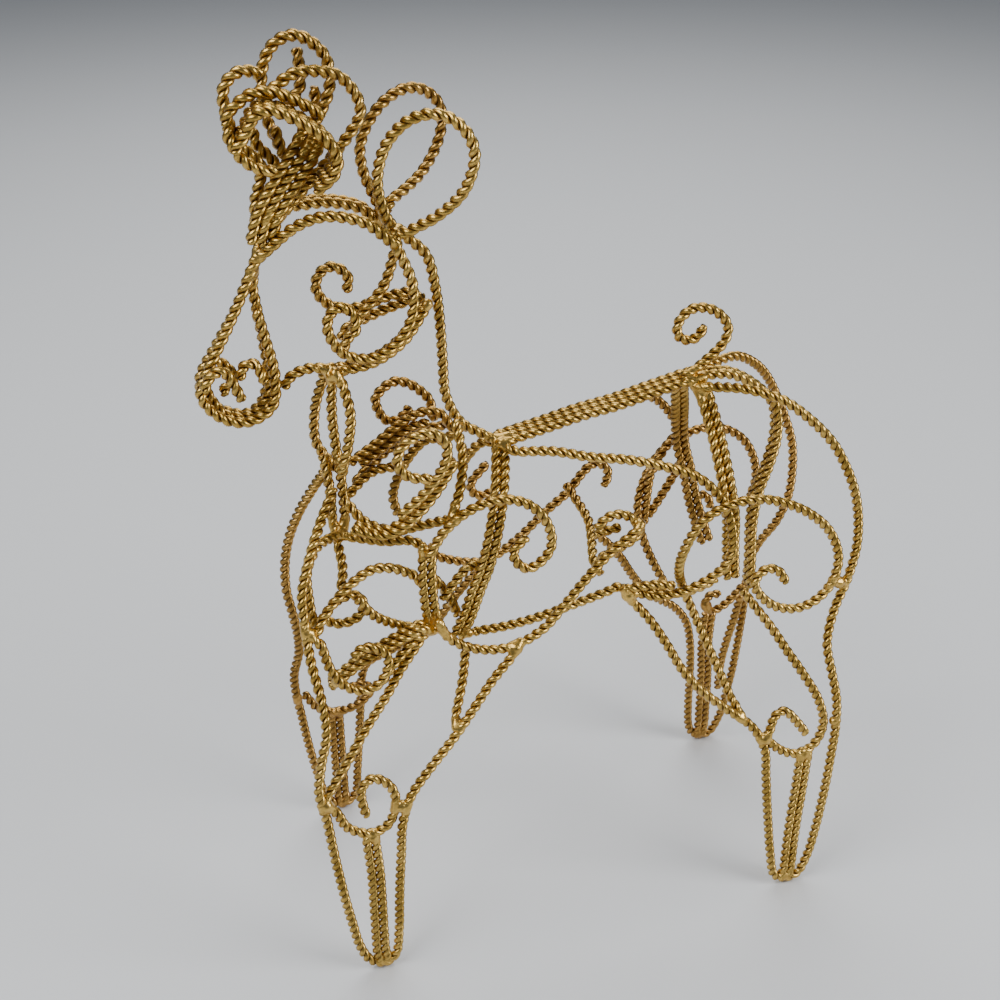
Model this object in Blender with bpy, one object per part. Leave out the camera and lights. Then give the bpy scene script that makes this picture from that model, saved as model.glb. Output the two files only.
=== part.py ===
"""A standing reindeer bent from twisted two-strand metal rope.

Lengths are metres. +Z is up, the head points along -X, and the near side of the body is -Y.
The pose is written in 415ths of the figure's height, measured from the rope under the feet.
"""
import math

import bmesh
import bpy
import numpy as np
from mathutils import Vector

for old in list(bpy.data.objects):
    bpy.data.objects.remove(old, do_unlink=True)

# Driving dimensions
FIGURE_HEIGHT = 0.415  # from the rope under the feet to the rope of the top antler loop, centre to centre
ROPE = 0.0048  # thickness of one twisted rope
GAP = 0.0003  # clearance between neighbouring ropes
BRAZE = 0.0030  # thickness of the filler bead that bridges two ropes
LONGEST_RUN = 0.015  # longest straight run between two bends of a rope
SHARPEST_BEND = math.radians(31)  # largest turn at one bend
SIDES = 5  # flats around one rope

SHARE = FIGURE_HEIGHT / 415
ROPES = {}


def rope(name, points, count=1, across=(0, 1, 0)):
    """One rope, or a flat row of ropes lying side by side along the direction across."""
    ROPES[name] = (points, count, across)


# Antlers: three loops wrapped by a flat band, on a double stem
rope("antler_top", [(3, 5, 380), (8, 5, 388), (12, 6, 397), (11, 6, 406), (6, 6, 412), (0, 6, 415),
                    (-7, 6, 413), (-12, 6, 406), (-13, 6, 397), (-13, 6, 388), (-10, 5, 379), (-7, 5, 371)])
rope("antler_left", [(-17, 0, 405), (-21, -2, 406), (-26, -3, 403), (-28, -3, 397), (-26, -4, 389),
                     (-24, -5, 381), (-20, -4, 376), (-16, -3, 371), (-17, -2, 364), (-19, -1, 357)])
rope("antler_right", [(-11, -3, 399), (-7, -3, 402), (-3, -2, 404), (2, 0, 404), (8, 2, 403), (13, 4, 401),
                      (18, 5, 396), (21, 5, 390), (21, 4, 385), (18, 4, 380), (13, 3, 374), (8, 1, 370),
                      (3, 0, 366), (-2, -1, 361), (-7, -1, 356), (-11, 0, 351)])
rope("antler_band", [(-27, -8, 386), (-24, -10, 392), (-19, -11, 395), (-13, -11, 394), (-7, -11, 391),
                     (-1, -11, 387), (4, -10, 382), (7, -9, 376), (6, -8, 371)], 3)
rope("antler_stem", [(6, -1, 383), (1, -3, 378), (-3, -5, 372), (-8, -6, 366), (-12, -6, 359),
                     (-16, -5, 352)], 3, (1, 0, 0))
rope("antler_tip_long", [(1, 13, 409), (1, 13, 402), (1, 12, 395), (-3, 11, 390)])
rope("antler_tip_short", [(6, 12, 395), (7, 12, 389), (6, 11, 383)])

# Head, from the forehead round the brow to the ears
rope("forehead", [(-9, 4, 366), (-13, 4, 358), (-17, 4, 348), (-20, 3, 339), (-23, 2, 331)])
rope("brow_upper", [(-8, 5, 353), (0, 7, 353), (8, 9, 352), (15, 10, 350), (22, 12, 347), (28, 13, 341)], 2)
rope("ear_stem", [(27, 1, 352), (30, 1, 344), (33, 0, 337)], 2)
rope("brow_lower", [(-19, -4, 340), (-14, -6, 345), (-7, -8, 350), (0, -10, 353), (8, -11, 353),
                    (16, -12, 351), (23, -12, 346), (28, -11, 341)])
rope("ear_near", [(27, -8, 350), (24, -10, 358), (24, -12, 367), (26, -14, 377), (30, -17, 385),
                  (36, -20, 390), (43, -23, 392), (51, -25, 389), (56, -27, 382), (57, -26, 373),
                  (54, -23, 363), (48, -19, 355), (42, -15, 349), (35, -12, 345)])
rope("ear_far", [(28, 11, 347), (25, 11, 355), (22, 13, 364), (23, 14, 373), (28, 16, 381), (35, 18, 387),
                 (43, 20, 389), (51, 23, 386), (56, 25, 379), (56, 25, 371), (52, 22, 362),
                 (45, 18, 355), (38, 14, 351), (32, 11, 349)])

# Muzzle: two drop-shaped loops, a third rope in the bottom, and small scrolls inside
rope("jaw_near", [(-21, -3, 338), (-25, -3, 329), (-31, -3, 318), (-37, -3, 306), (-44, -4, 294),
                  (-48, -4, 285), (-46, -5, 278), (-41, -6, 273), (-34, -6, 270), (-27, -6, 271),
                  (-21, -6, 276), (-19, -5, 284), (-20, -4, 295), (-22, -3, 306), (-24, -3, 316)])
rope("jaw_far", [(-32, 4, 312), (-38, 4, 302), (-44, 5, 292), (-48, 5, 284), (-46, 5, 275), (-40, 5, 270),
                 (-32, 5, 267), (-26, 5, 270), (-22, 4, 278), (-21, 4, 289), (-22, 3, 301),
                 (-23, 3, 312), (-24, 3, 322)])
rope("jaw_mid", [(-45, 0, 279), (-41, 0, 272), (-34, 0, 269), (-27, 0, 271), (-22, 0, 278)])
rope("muzzle_near", [(-47, -9, 287), (-46, -9, 291), (-43, -9, 294), (-40, -9, 295), (-37, -9, 292),
                     (-35, -9, 288), (-33, -9, 281)])
rope("muzzle_far", [(-43, 1, 297), (-40, 1, 296), (-37, 1, 293), (-35, 1, 289), (-36, 1, 285),
                    (-39, 1, 282), (-39, 1, 279)])
rope("muzzle_arch", [(-33, -5, 288), (-32, -5, 292), (-30, -5, 294), (-27, -5, 294), (-25, -6, 291),
                     (-24, -8, 287)])

# Cheek, jaw band and the link to the throat
rope("jaw_link", [(-16, -1, 280), (-13, 0, 284), (-9, 0, 286), (-4, 0, 287), (1, 0, 286)])
rope("jaw_band", [(7, 1, 284), (14, 0, 285), (20, -1, 287), (27, -2, 291), (34, -2, 296), (40, -2, 303),
                  (44, -1, 309)], 2)
rope("cheek_arch", [(33, 6, 331), (31, 6, 323), (27, 5, 316), (21, 4, 310), (16, 3, 304), (11, 2, 297),
                    (8, 1, 290)])
rope("cheek_near", [(31, -9, 337), (35, -10, 329), (36, -11, 317), (34, -11, 306), (28, -11, 298),
                    (18, -10, 293), (9, -9, 295), (4, -9, 301), (2, -9, 308), (4, -9, 314), (9, -10, 316),
                    (13, -11, 311), (12, -11, 304)])
rope("cheek_far", [(13, 9, 314), (14, 9, 320), (9, 9, 325), (4, 9, 324), (1, 9, 318), (3, 9, 312),
                   (8, 9, 308), (14, 8, 307), (22, 8, 308), (31, 7, 311), (40, 6, 312)])

# Neck
rope("neck_back", [(34, -1, 338), (39, -1, 334), (43, 0, 328), (45, 0, 320), (47, 0, 309), (48, 0, 296),
                   (49, 0, 279), (50, 0, 267), (54, 0, 257), (61, 0, 249), (70, 0, 244)])
rope("neck_front_mid", [(4, 0, 281), (3, -1, 270), (3, -1, 257), (4, -1, 243), (5, 0, 229), (5, 0, 214)])
rope("neck_front_low", [(-2, 2, 246), (-1, 1, 238), (0, 0, 226), (0, 0, 214)])
rope("neck_front_far", [(1, 6, 279), (-1, 8, 272), (-3, 9, 263), (-4, 8, 254), (-3, 7, 246), (1, 6, 240)])
rope("neck_front_near", [(7, -5, 281), (9, -7, 275), (9, -8, 268), (8, -8, 260), (7, -7, 251), (5, -6, 243)])
rope("neck_scroll", [(49, 24, 248), (49, 24, 252), (46, 24, 256), (43, 24, 260), (38, 24, 263),
                     (33, 24, 264), (28, 24, 261), (25, 24, 257), (26, 24, 251), (29, 24, 246),
                     (33, 24, 245), (37, 24, 247), (40, 24, 251)])

# Collar and shoulder
rope("collar_upper", [(56, 17, 243), (52, 18, 249), (46, 18, 251), (41, 18, 250), (35, 18, 247),
                      (29, 17, 243), (23, 15, 240), (17, 13, 238), (10, 10, 235)])
rope("arch_far", [(76, 30, 214), (73, 30, 210), (68, 30, 204), (70, 30, 198), (75, 30, 197), (81, 30, 201),
                  (83, 30, 210), (82, 30, 219), (76, 30, 227), (69, 29, 233), (60, 27, 237), (51, 25, 239),
                  (43, 24, 238), (34, 22, 235), (26, 20, 231), (18, 16, 227), (12, 12, 223)])
rope("collar_lower", [(36, 13, 230), (28, 13, 230), (20, 12, 229), (14, 10, 226), (8, 6, 221)])
rope("shoulder_ring", [(25, -27, 227), (33, -28, 234), (40, -29, 243), (45, -30, 253), (45, -30, 261),
                       (40, -30, 266), (34, -30, 266), (28, -30, 262), (26, -30, 256), (29, -30, 250),
                       (35, -30, 247), (41, -30, 247)])
rope("shoulder_inner", [(51, 10, 240), (46, 12, 241), (41, 14, 237), (36, 16, 228), (31, 18, 219),
                        (30, 20, 208), (32, 21, 199)])
rope("shoulder_bundle", [(8, -13, 219), (15, -18, 218), (23, -22, 220), (31, -24, 227), (38, -24, 235),
                         (44, -24, 243), (48, -23, 250)], 2)
rope("withers_side", [(53, -8, 257), (53, -14, 251), (53, -20, 245), (51, -25, 238), (48, -28, 230)])
rope("withers_column", [(73, -4, 239), (71, -10, 232), (69, -16, 224), (66, -20, 213), (62, -22, 198),
                        (57, -21, 182), (53, -20, 168), (49, -19, 158)], 2, (1, 0, 0))
rope("shoulder_arch", [(34, -27, 207), (39, -28, 217), (45, -29, 225), (52, -30, 230), (60, -31, 233),
                       (68, -31, 233), (76, -32, 230), (82, -32, 224), (86, -32, 216), (87, -32, 207),
                       (83, -32, 200), (77, -32, 197), (72, -32, 201), (71, -32, 207), (77, -32, 213)])
rope("shoulder_column", [(36, -24, 211), (35, -25, 201), (35, -25, 186), (36, -25, 172)], 2, (1, 0, 0))
rope("girth_brace", [(39, -19, 190), (43, -19, 183), (48, -19, 174), (51, -18, 165)])

# Chest and brisket
rope("chest_tie", [(1, -5, 210), (-5, -12, 213), (-10, -18, 213), (-14, -22, 208), (-16, -24, 200),
                   (-15, -25, 189), (-14, -26, 179)])
rope("chest_cup", [(4, -5, 228), (8, -8, 222), (13, -12, 218), (19, -15, 216), (26, -18, 216),
                   (31, -20, 218)])
rope("chest_bar", [(6, -5, 208), (14, -9, 207), (22, -14, 208), (29, -19, 210), (34, -22, 208)])
rope("brisket_arch", [(31, -22, 194), (25, -24, 199), (17, -24, 202), (9, -24, 201), (1, -25, 196),
                      (-6, -27, 191), (-12, -29, 184), (-15, -31, 180)])
rope("brisket_scroll", [(-11, -20, 180), (-5, -20, 175), (2, -20, 175), (7, -20, 179), (7, -20, 186),
                        (2, -20, 189), (-4, -21, 187)])
rope("brisket_diagonal", [(1, -21, 193), (6, -21, 184), (15, -20, 175), (23, -19, 169), (31, -19, 165)])

# Front legs: one rope runs down the chest, under the foot and up the back of the leg
NEAR_FRONT = [(1, -5, 233), (-4, -12, 227), (-10, -19, 221), (-14, -25, 213), (-18, -28, 202),
              (-19, -30, 189), (-18, -34, 176), (-18, -39, 165), (-16, -44, 155), (-15, -48, 144),
              (-17, -50, 132), (-20, -51, 121), (-21, -52, 108), (-19, -52, 96), (-17, -53, 75),
              (-14, -54, 48), (-10, -54, 22), (-6, -55, 6), (2, -55, 0), (8, -55, 5), (10, -54, 20),
              (11, -54, 42), (13, -53, 68), (15, -52, 88), (18, -51, 97), (26, -49, 108), (36, -46, 118),
              (46, -42, 128), (55, -38, 138), (64, -33, 146), (70, -31, 151)]
FAR_FRONT = [(-1, 8, 234), (-5, 14, 224), (-11, 20, 210), (-16, 25, 195), (-19, 28, 180), (-20, 29, 165),
             (-18, 31, 148), (-16, 35, 131), (-16, 40, 115), (-19, 44, 98), (-17, 48, 75), (-14, 51, 48),
             (-10, 53, 22), (-6, 54, 6), (2, 55, 0), (8, 55, 5), (10, 54, 20), (12, 54, 42), (14, 53, 68),
             (15, 52, 84), (18, 50, 96), (29, 47, 104), (40, 42, 113), (50, 37, 124), (57, 33, 138),
             (65, 29, 152), (72, 28, 160)]
SHANK = [(0, -52, 74), (1, -53, 56), (1, -54, 31), (1, -55, 8)]
FETLOCK = [(-15, -52, 96), (-13, -51, 89), (-8, -51, 83), (0, -51, 80), (7, -51, 83), (11, -51, 92),
           (11, -51, 102), (6, -51, 110), (1, -51, 112), (-3, -51, 107), (-3, -51, 99), (-1, -51, 91)]
rope("front_near", NEAR_FRONT)
rope("front_near_brace", [(52, -26, 156), (50, -30, 146), (47, -35, 136), (44, -39, 129)])
rope("front_near_inner", [(31, -27, 165), (23, -30, 157), (12, -36, 143), (0, -42, 129), (-10, -48, 117),
                          (-16, -50, 109)])
rope("front_far", FAR_FRONT)
rope("front_near_shank", SHANK, 2, (1, 0, 0))
rope("front_near_fetlock", FETLOCK)
rope("front_far_shank", [(1, 53, 61), (1, 54, 44), (1, 54, 26), (1, 55, 8)], 2, (1, 0, 0))
rope("front_far_fetlock", [(-14, 51, 82), (-11, 51, 75), (-6, 51, 70), (1, 50, 68), (8, 47, 71),
                           (15, 46, 76), (19, 46, 82), (14, 46, 86), (8, 46, 85)])
rope("knee_near", [(-15, -35, 176), (-14, -35, 170), (-12, -35, 164), (-10, -35, 158), (-5, -35, 152),
                   (0, -35, 149), (6, -35, 149), (11, -35, 153), (14, -35, 160), (13, -35, 167),
                   (8, -35, 171), (3, -35, 171), (0, -35, 167)])
rope("knee_bar", [(31, -27, 173), (24, -27, 170), (15, -27, 165), (6, -27, 160), (-3, -27, 154),
                  (-10, -27, 148)], 2)

# Belly and flanks
rope("belly_upper", [(56, -18, 157), (68, -18, 157), (81, -19, 159), (95, -20, 163), (110, -22, 168),
                     (122, -24, 173)])
rope("belly_lower", [(38, -27, 175), (41, -27, 167), (47, -28, 161), (56, -28, 156), (67, -28, 154),
                     (78, -28, 156), (88, -28, 163), (97, -28, 174), (106, -28, 185), (114, -28, 194),
                     (122, -28, 200), (127, -28, 204)])
rope("middle_ring", [(114, -23, 190), (121, -23, 193), (128, -23, 197), (131, -23, 202), (127, -23, 208),
                     (121, -23, 211), (115, -23, 210), (111, -22, 205)])
rope("belly_far", [(42, 26, 176), (49, 27, 170), (57, 27, 166), (66, 27, 163), (75, 27, 163), (84, 27, 168),
                   (93, 26, 176), (102, 26, 185), (110, 26, 192), (117, 26, 198), (121, 26, 205),
                   (126, 26, 208), (131, 26, 206), (133, 26, 201), (131, 26, 195)])
rope("body_strut", [(114, 21, 197), (116, 13, 192), (118, 5, 189), (116, -3, 185), (114, -11, 181),
                    (116, -18, 177)])
rope("flank_near", [(79, -9, 241), (91, -13, 242), (105, -18, 240), (120, -24, 240), (135, -28, 237),
                    (148, -31, 233), (158, -33, 226), (166, -34, 214), (170, -34, 200), (170, -33, 186),
                    (162, -31, 176), (150, -29, 170), (139, -27, 168), (129, -26, 171)])
rope("flank_far", [(80, 9, 241), (96, 12, 242), (115, 18, 242), (134, 24, 241), (149, 28, 239),
                   (160, 31, 229), (167, 33, 217), (170, 33, 205), (168, 32, 195), (163, 31, 186),
                   (157, 30, 178), (153, 29, 171)])
rope("spine", [(78, 0, 244), (92, 0, 247), (109, 0, 251), (127, 0, 254), (143, 0, 258), (156, 0, 261)], 3)

# Rump and tail
rope("tail", [(161, -2, 266), (167, -1, 270), (173, 0, 275), (175, 0, 282), (171, 0, 289), (164, 0, 293),
              (157, 0, 293), (152, 0, 288), (152, 0, 282), (156, 0, 279), (161, 0, 280), (164, 0, 285)])
rope("rump_mid", [(165, 0, 262), (174, 0, 262), (184, 0, 257), (193, 0, 251), (200, 0, 243), (203, 0, 231),
                  (202, 0, 216), (198, 0, 202), (196, 0, 188), (196, 0, 173), (197, -1, 158), (197, -2, 145)],
     2)
rope("hip_near", [(163, -8, 257), (164, -15, 249), (165, -22, 240), (166, -28, 229), (168, -31, 217),
                  (171, -29, 205), (173, -27, 192), (174, -26, 180), (175, -27, 170)], 2, (1, 0, 0))
rope("hip_far", [(157, 6, 254), (161, 13, 240), (165, 21, 226), (168, 25, 213), (172, 25, 199),
                 (176, 25, 182), (181, 26, 167), (186, 27, 154)], 2, (1, 0, 0))
rope("haunch_near", [(174, -42, 112), (170, -39, 122), (165, -34, 135), (160, -29, 148), (155, -25, 161),
                     (150, -28, 174), (147, -34, 187), (148, -37, 198), (152, -39, 209), (159, -40, 216),
                     (169, -40, 219), (182, -40, 218), (195, -39, 212), (207, -39, 204), (217, -39, 192),
                     (221, -39, 180), (220, -39, 169), (214, -39, 160), (204, -39, 156), (193, -39, 159),
                     (184, -39, 167), (181, -39, 176), (186, -39, 181), (192, -39, 179), (196, -39, 172)])
rope("haunch_far", [(165, 26, 134), (159, 26, 146), (154, 27, 159), (150, 28, 172), (151, 30, 182),
                    (155, 33, 192), (162, 36, 201), (171, 38, 207), (181, 39, 210), (192, 40, 210),
                    (203, 40, 205), (211, 40, 196), (215, 40, 186), (216, 40, 176), (213, 39, 168)])

# Hind legs: one rope runs over the rump, down the back, under the foot and up to the shin
NEAR_HIND = [(165, -10, 260), (171, -16, 262), (180, -22, 262), (190, -27, 259), (201, -31, 251),
             (211, -33, 241), (220, -34, 227), (228, -34, 209), (232, -34, 188), (231, -35, 172),
             (227, -36, 159), (221, -40, 146), (219, -44, 134), (222, -48, 119), (225, -51, 102),
             (225, -52, 80), (224, -53, 57), (222, -54, 35), (219, -55, 14), (214, -56, 2), (208, -56, 0),
             (201, -56, 4), (198, -55, 18), (195, -53, 42), (192, -52, 66), (190, -51, 84),
             (186, -50, 94), (179, -48, 103), (169, -46, 111), (159, -43, 120), (150, -39, 131),
             (142, -34, 146), (134, -30, 159), (128, -27, 166)]
FAR_HIND = [(172, 8, 262), (183, 13, 262), (195, 18, 256), (204, 23, 248), (213, 28, 236), (221, 32, 221),
            (229, 34, 204), (232, 34, 187), (232, 34, 170), (228, 36, 153), (222, 40, 139), (219, 43, 126),
            (220, 46, 110), (221, 48, 92), (221, 50, 70), (220, 51, 48), (218, 53, 26), (216, 55, 9),
            (212, 56, 1), (207, 56, 0), (201, 56, 4), (198, 55, 18), (196, 53, 44), (194, 51, 68),
            (190, 49, 86), (184, 47, 98), (175, 45, 106), (164, 41, 117), (155, 37, 129), (148, 34, 141),
            (141, 31, 153), (134, 29, 162), (127, 27, 169)]
HIND_SHANK = [(211, -51, 72), (210, -52, 53), (208, -54, 32), (207, -56, 8)]
HOCK = [(183, -33, 160), (189, -37, 152), (197, -42, 139), (206, -46, 125), (214, -49, 111),
        (219, -50, 98), (218, -50, 85), (212, -50, 78), (204, -50, 78), (196, -50, 84)]
rope("hind_near", NEAR_HIND)
rope("hind_far", FAR_HIND)
rope("hind_near_shank", HIND_SHANK, 2, (1, 0, 0))
rope("hind_near_hock", HOCK)
rope("hind_near_curl", [(192, -50, 97), (193, -50, 103), (197, -50, 106), (203, -50, 101), (211, -50, 89)])
rope("hind_far_shank", [(202, 50, 84), (202, 51, 66), (204, 53, 44), (205, 55, 12)], 2, (1, 0, 0))
rope("hind_far_curl", [(218, 45, 103), (218, 46, 96), (216, 47, 85), (214, 49, 69), (213, 51, 54),
                       (213, 52, 36)])
rope("hind_far_hock", [(218, 43, 113), (213, 44, 106), (207, 44, 100), (201, 44, 98), (197, 44, 102),
                       (199, 44, 107), (205, 44, 107)])

# Ropes brazed into one piece, each with the neighbours that it is bridged to
BRAZED = {
    "brow_upper": ["ear_stem"],
    "muzzle_arch": ["muzzle_near"],
    "jaw_band": ["jaw_link", "cheek_arch"],
    "neck_front_mid": ["neck_front_low", "neck_front_far", "neck_front_near"],
    "brisket_arch": ["brisket_scroll", "brisket_diagonal"],
    "shoulder_column": ["girth_brace"],
    "belly_lower": ["middle_ring"],
    "front_near": ["front_near_brace"],
    "front_near_shank": ["front_near_fetlock"],
    "front_far_shank": ["front_far_fetlock"],
    "hind_near_shank": ["hind_near_hock"],
    "hind_near_hock": ["hind_near_curl"],
    "knee_near": ["knee_bar"],
    "hind_far_shank": ["hind_far_curl"],
    "hind_far_curl": ["hind_far_hock"],
}


def smooth_path(points):
    """Fine points along a centripetal spline through the given ones."""
    p = np.array(points, float)
    p = np.vstack([2 * p[0] - p[1], p, 2 * p[-1] - p[-2]])
    fine = []
    for i in range(1, len(p) - 2):
        p0, p1, p2, p3 = p[i - 1:i + 3]
        a = math.sqrt(np.linalg.norm(p1 - p0))
        b = math.sqrt(np.linalg.norm(p2 - p1))
        c = math.sqrt(np.linalg.norm(p3 - p2))
        m1 = b * ((p1 - p0) / a - (p2 - p0) / (a + b) + (p2 - p1) / b)
        m2 = b * ((p2 - p1) / b - (p3 - p1) / (b + c) + (p3 - p2) / c)
        for t in np.arange(0, 1, 0.1):
            fine.append((2 * t ** 3 - 3 * t ** 2 + 1) * p1 + (t ** 3 - 2 * t ** 2 + t) * m1
                        + (3 * t ** 2 - 2 * t ** 3) * p2 + (t ** 3 - t ** 2) * m2)
    fine.append(p[-2])
    return np.array(fine)


def bends(fine):
    """Fewer points along the path: a new one after each run or turn that reaches its limit."""
    steps = np.diff(fine, axis=0)
    lengths = np.linalg.norm(steps, axis=1)
    ways = steps / lengths[:, None]
    kept = [0]
    run = 0.0
    turn = 0.0
    for i in range(1, len(fine) - 1):
        run += lengths[i - 1]
        turn += math.acos(min(1.0, float(ways[i - 1] @ ways[i])))
        if run >= LONGEST_RUN or turn >= SHARPEST_BEND:
            kept.append(i)
            run = 0.0
            turn = 0.0
    kept.append(len(fine) - 1)
    if len(kept) > 2 and lengths[kept[-2]:].sum() < 0.4 * ROPE:
        kept.pop(-2)
    return fine[kept]


def tangents(path):
    """Unit directions along a path, at each of its points."""
    steps = np.diff(path, axis=0)
    steps /= np.linalg.norm(steps, axis=1)[:, None]
    way = np.vstack([steps[:1], steps[:-1] + steps[1:], steps[-1:]])
    return way / np.linalg.norm(way, axis=1)[:, None]


def rows(path, across):
    """Unit directions along which a row of ropes is spread, square to the path."""
    way = tangents(path)
    side = np.array(across, float) - way * (way @ np.array(across, float))[:, None]
    return side / np.linalg.norm(side, axis=1)[:, None]


def closest(a0, a1, b0, b1):
    """Closest points of pairs of straight runs: shares along each run, and the vector between them."""
    u = a1 - a0
    v = b1 - b0
    w = a0 - b0
    uu = (u * u).sum(1)
    uv = (u * v).sum(1)
    vv = (v * v).sum(1)
    uw = (u * w).sum(1)
    vw = (v * w).sum(1)
    det = np.maximum(uu * vv - uv * uv, 1e-18)
    s = np.clip((uv * vw - vv * uw) / det, 0, 1)
    t = np.clip((uv * s + vw) / vv, 0, 1)
    s = np.clip((uv * t - uw) / uu, 0, 1)
    return s, t, w + u * s[:, None] - v * t[:, None]


def settle(paths):
    """Moves ropes sideways, as little as it takes, until no two are nearer than a rope and the gap."""
    names = list(paths)
    start = np.cumsum([0] + [len(paths[n]) for n in names])
    place = np.vstack([paths[n] for n in names])
    first = place.copy()
    inner = np.ones(len(place), bool)
    inner[start[:-1]] = False
    inner[start[1:] - 1] = False
    index, shift, owner = [], [], []
    for k, name in enumerate(names):
        count = ROPES[name][1]
        for j in range(count):
            for i in range(start[k], start[k + 1] - 1):
                index.append(i)
                shift.append((j - (count - 1) / 2) * ROPE)
                owner.append(k)
    index, shift, owner = np.array(index), np.array(shift), np.array(owner)
    on_floor = first[:, 2] < 0.5 * SHARE
    apart = ROPE + GAP + 0.04 * ROPE
    for step in range(600):
        side = np.zeros_like(place)
        for k, name in enumerate(names):
            if ROPES[name][1] > 1:
                part = slice(start[k], start[k + 1])
                side[part] = rows(place[part], ROPES[name][2])
        a = place[index] + side[index] * shift[:, None]
        b = place[index + 1] + side[index + 1] * shift[:, None]
        if step % 25 == 0:
            middle = (a + b) / 2
            reach = np.linalg.norm(b - a, axis=1) / 2
            far = np.linalg.norm(middle[:, None] - middle[None], axis=2) - reach[:, None] - reach[None]
            near = np.triu(far < apart + 0.004, 1)
            same = owner[:, None] == owner[None]
            near &= ~(same & (np.abs(index[:, None] - index[None]) < 4))
            i, j = np.nonzero(near)
            single = np.array([ROPES[names[k]][1] == 1 for k in owner])
            keep = (owner[i] != owner[j]) | single[i]
            i, j = i[keep], j[keep]
        s, t, away = closest(a[i], b[i], a[j], b[j])
        gap = np.linalg.norm(away, axis=1)
        short = apart - gap
        hit = short > 0
        if step > 300 and short.max() < 0.02 * ROPE:
            break
        push = away[hit] / np.maximum(gap[hit], 1e-9)[:, None] * (short[hit] * 0.5)[:, None]
        move = np.zeros_like(place)
        weight = np.zeros(len(place))
        share_i = s[hit][:, None]
        share_j = t[hit][:, None]
        for points, amount in ((index[i[hit]], 1 - share_i), (index[i[hit]] + 1, share_i),
                               (index[j[hit]], share_j - 1), (index[j[hit]] + 1, -share_j)):
            np.add.at(move, points, push * amount)
            np.add.at(weight, points, np.abs(amount[:, 0]))
        place += move / np.maximum(weight, 1)[:, None] * 1.2
        if step < 300:
            drift = place - first
            mean = (np.roll(drift, 1, 0) + np.roll(drift, -1, 0)) / 2
            drift[inner] += 0.3 * (mean[inner] - drift[inner])
            place = first + drift
        place[on_floor, 2] = first[on_floor, 2]
    print("settled after", step, "steps, tightest", round(float(gap.min()) * 1000, 2), "mm")
    return {n: place[start[k]:start[k + 1]] for k, n in enumerate(names)}


def profile(count):
    """Section of one rope, or of a row of ropes, as (along the row, across the row)."""
    r = ROPE / 2
    if count == 1:
        return [(r * math.cos(2 * math.pi * k / SIDES), r * math.sin(2 * math.pi * k / SIDES))
                for k in range(SIDES)]
    middles = [(k - (count - 1) / 2) * ROPE for k in range(count)]
    top = [(middles[-1] + r, 0)]
    for k in range(count - 1, -1, -1):
        top.append((middles[k], r))
        if k:
            top.append((middles[k] - r, 0.45 * r))
    top.append((middles[0] - r, 0))
    return top + [(x, -y) for x, y in reversed(top[1:-1])]


def carried(path):
    """Side directions carried along a path without twisting about it."""
    way = tangents(path)
    side = np.cross(way[0], (0, 0, 1) if abs(way[0][2]) < 0.8 else (1, 0, 0))
    sides = [side / np.linalg.norm(side)]
    for i in range(1, len(path)):
        side = sides[-1] - way[i] * (sides[-1] @ way[i])
        sides.append(side / np.linalg.norm(side))
    return np.array(sides)


def rope_mesh(name, path, section, side):
    """Closed solid of a section swept along a path, with mitred bends."""
    way = tangents(path)
    over = np.cross(way, side)
    mesh = bpy.data.meshes.new(name)
    work = bmesh.new()
    rings = []
    for i, middle in enumerate(path):
        stretch = np.zeros(3)
        if 0 < i < len(path) - 1:
            before = path[i] - path[i - 1]
            after = path[i + 1] - path[i]
            bend = after / np.linalg.norm(after) - before / np.linalg.norm(before)
            half = math.sqrt(max(1e-12, 1 - (np.linalg.norm(bend) / 2) ** 2))
            if np.linalg.norm(bend) > 1e-6:
                bend /= np.linalg.norm(bend)
                stretch = bend * (1 / half - 1)
        ring = []
        for x, y in section:
            out = side[i] * x + over[i] * y
            bend_part = out @ (stretch / max(np.linalg.norm(stretch), 1e-12))
            ring.append(work.verts.new(Vector(middle + out + stretch * bend_part)))
        rings.append(ring)
    size = len(section)
    for near, far in zip(rings, rings[1:]):
        for k in range(size):
            work.faces.new((near[k], near[(k + 1) % size], far[(k + 1) % size], far[k]))
    work.faces.new(list(reversed(rings[0])))
    work.faces.new(rings[-1])
    bmesh.ops.recalc_face_normals(work, faces=work.faces)
    if work.calc_volume(signed=True) < 0:
        bmesh.ops.reverse_faces(work, faces=work.faces)
    work.to_mesh(mesh)
    work.free()
    mesh.shade_smooth()
    mesh.set_sharp_from_angle(angle=math.radians(80))
    return mesh


def gilt(name, tone):
    """Gilt metal, darker on the older ropes."""
    material = bpy.data.materials.new(name)
    material.use_nodes = True
    shader = material.node_tree.nodes["Principled BSDF"]
    shader.inputs["Base Color"].default_value = (0.56 * tone, 0.40 * tone, 0.15 * tone, 1)
    shader.inputs["Roughness"].default_value = 0.36
    shader.inputs["Metallic"].default_value = 1.0
    return material


def bead(name, first, second):
    """Short round bead of filler from the middle of one rope to the middle of another."""
    section = [(BRAZE / 2 * math.cos(math.pi * k / 3), BRAZE / 2 * math.sin(math.pi * k / 3))
               for k in range(6)]
    path = np.array([first, second])
    return bpy.data.objects.new(name, rope_mesh(name, path, section, carried(path)))


def members(name, path):
    """Middle lines of the single ropes in a row."""
    count, across = ROPES[name][1:]
    if count == 1:
        return [path]
    side = rows(path, across)
    return [path + side * (k - (count - 1) / 2) * ROPE for k in range(count)]


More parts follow.
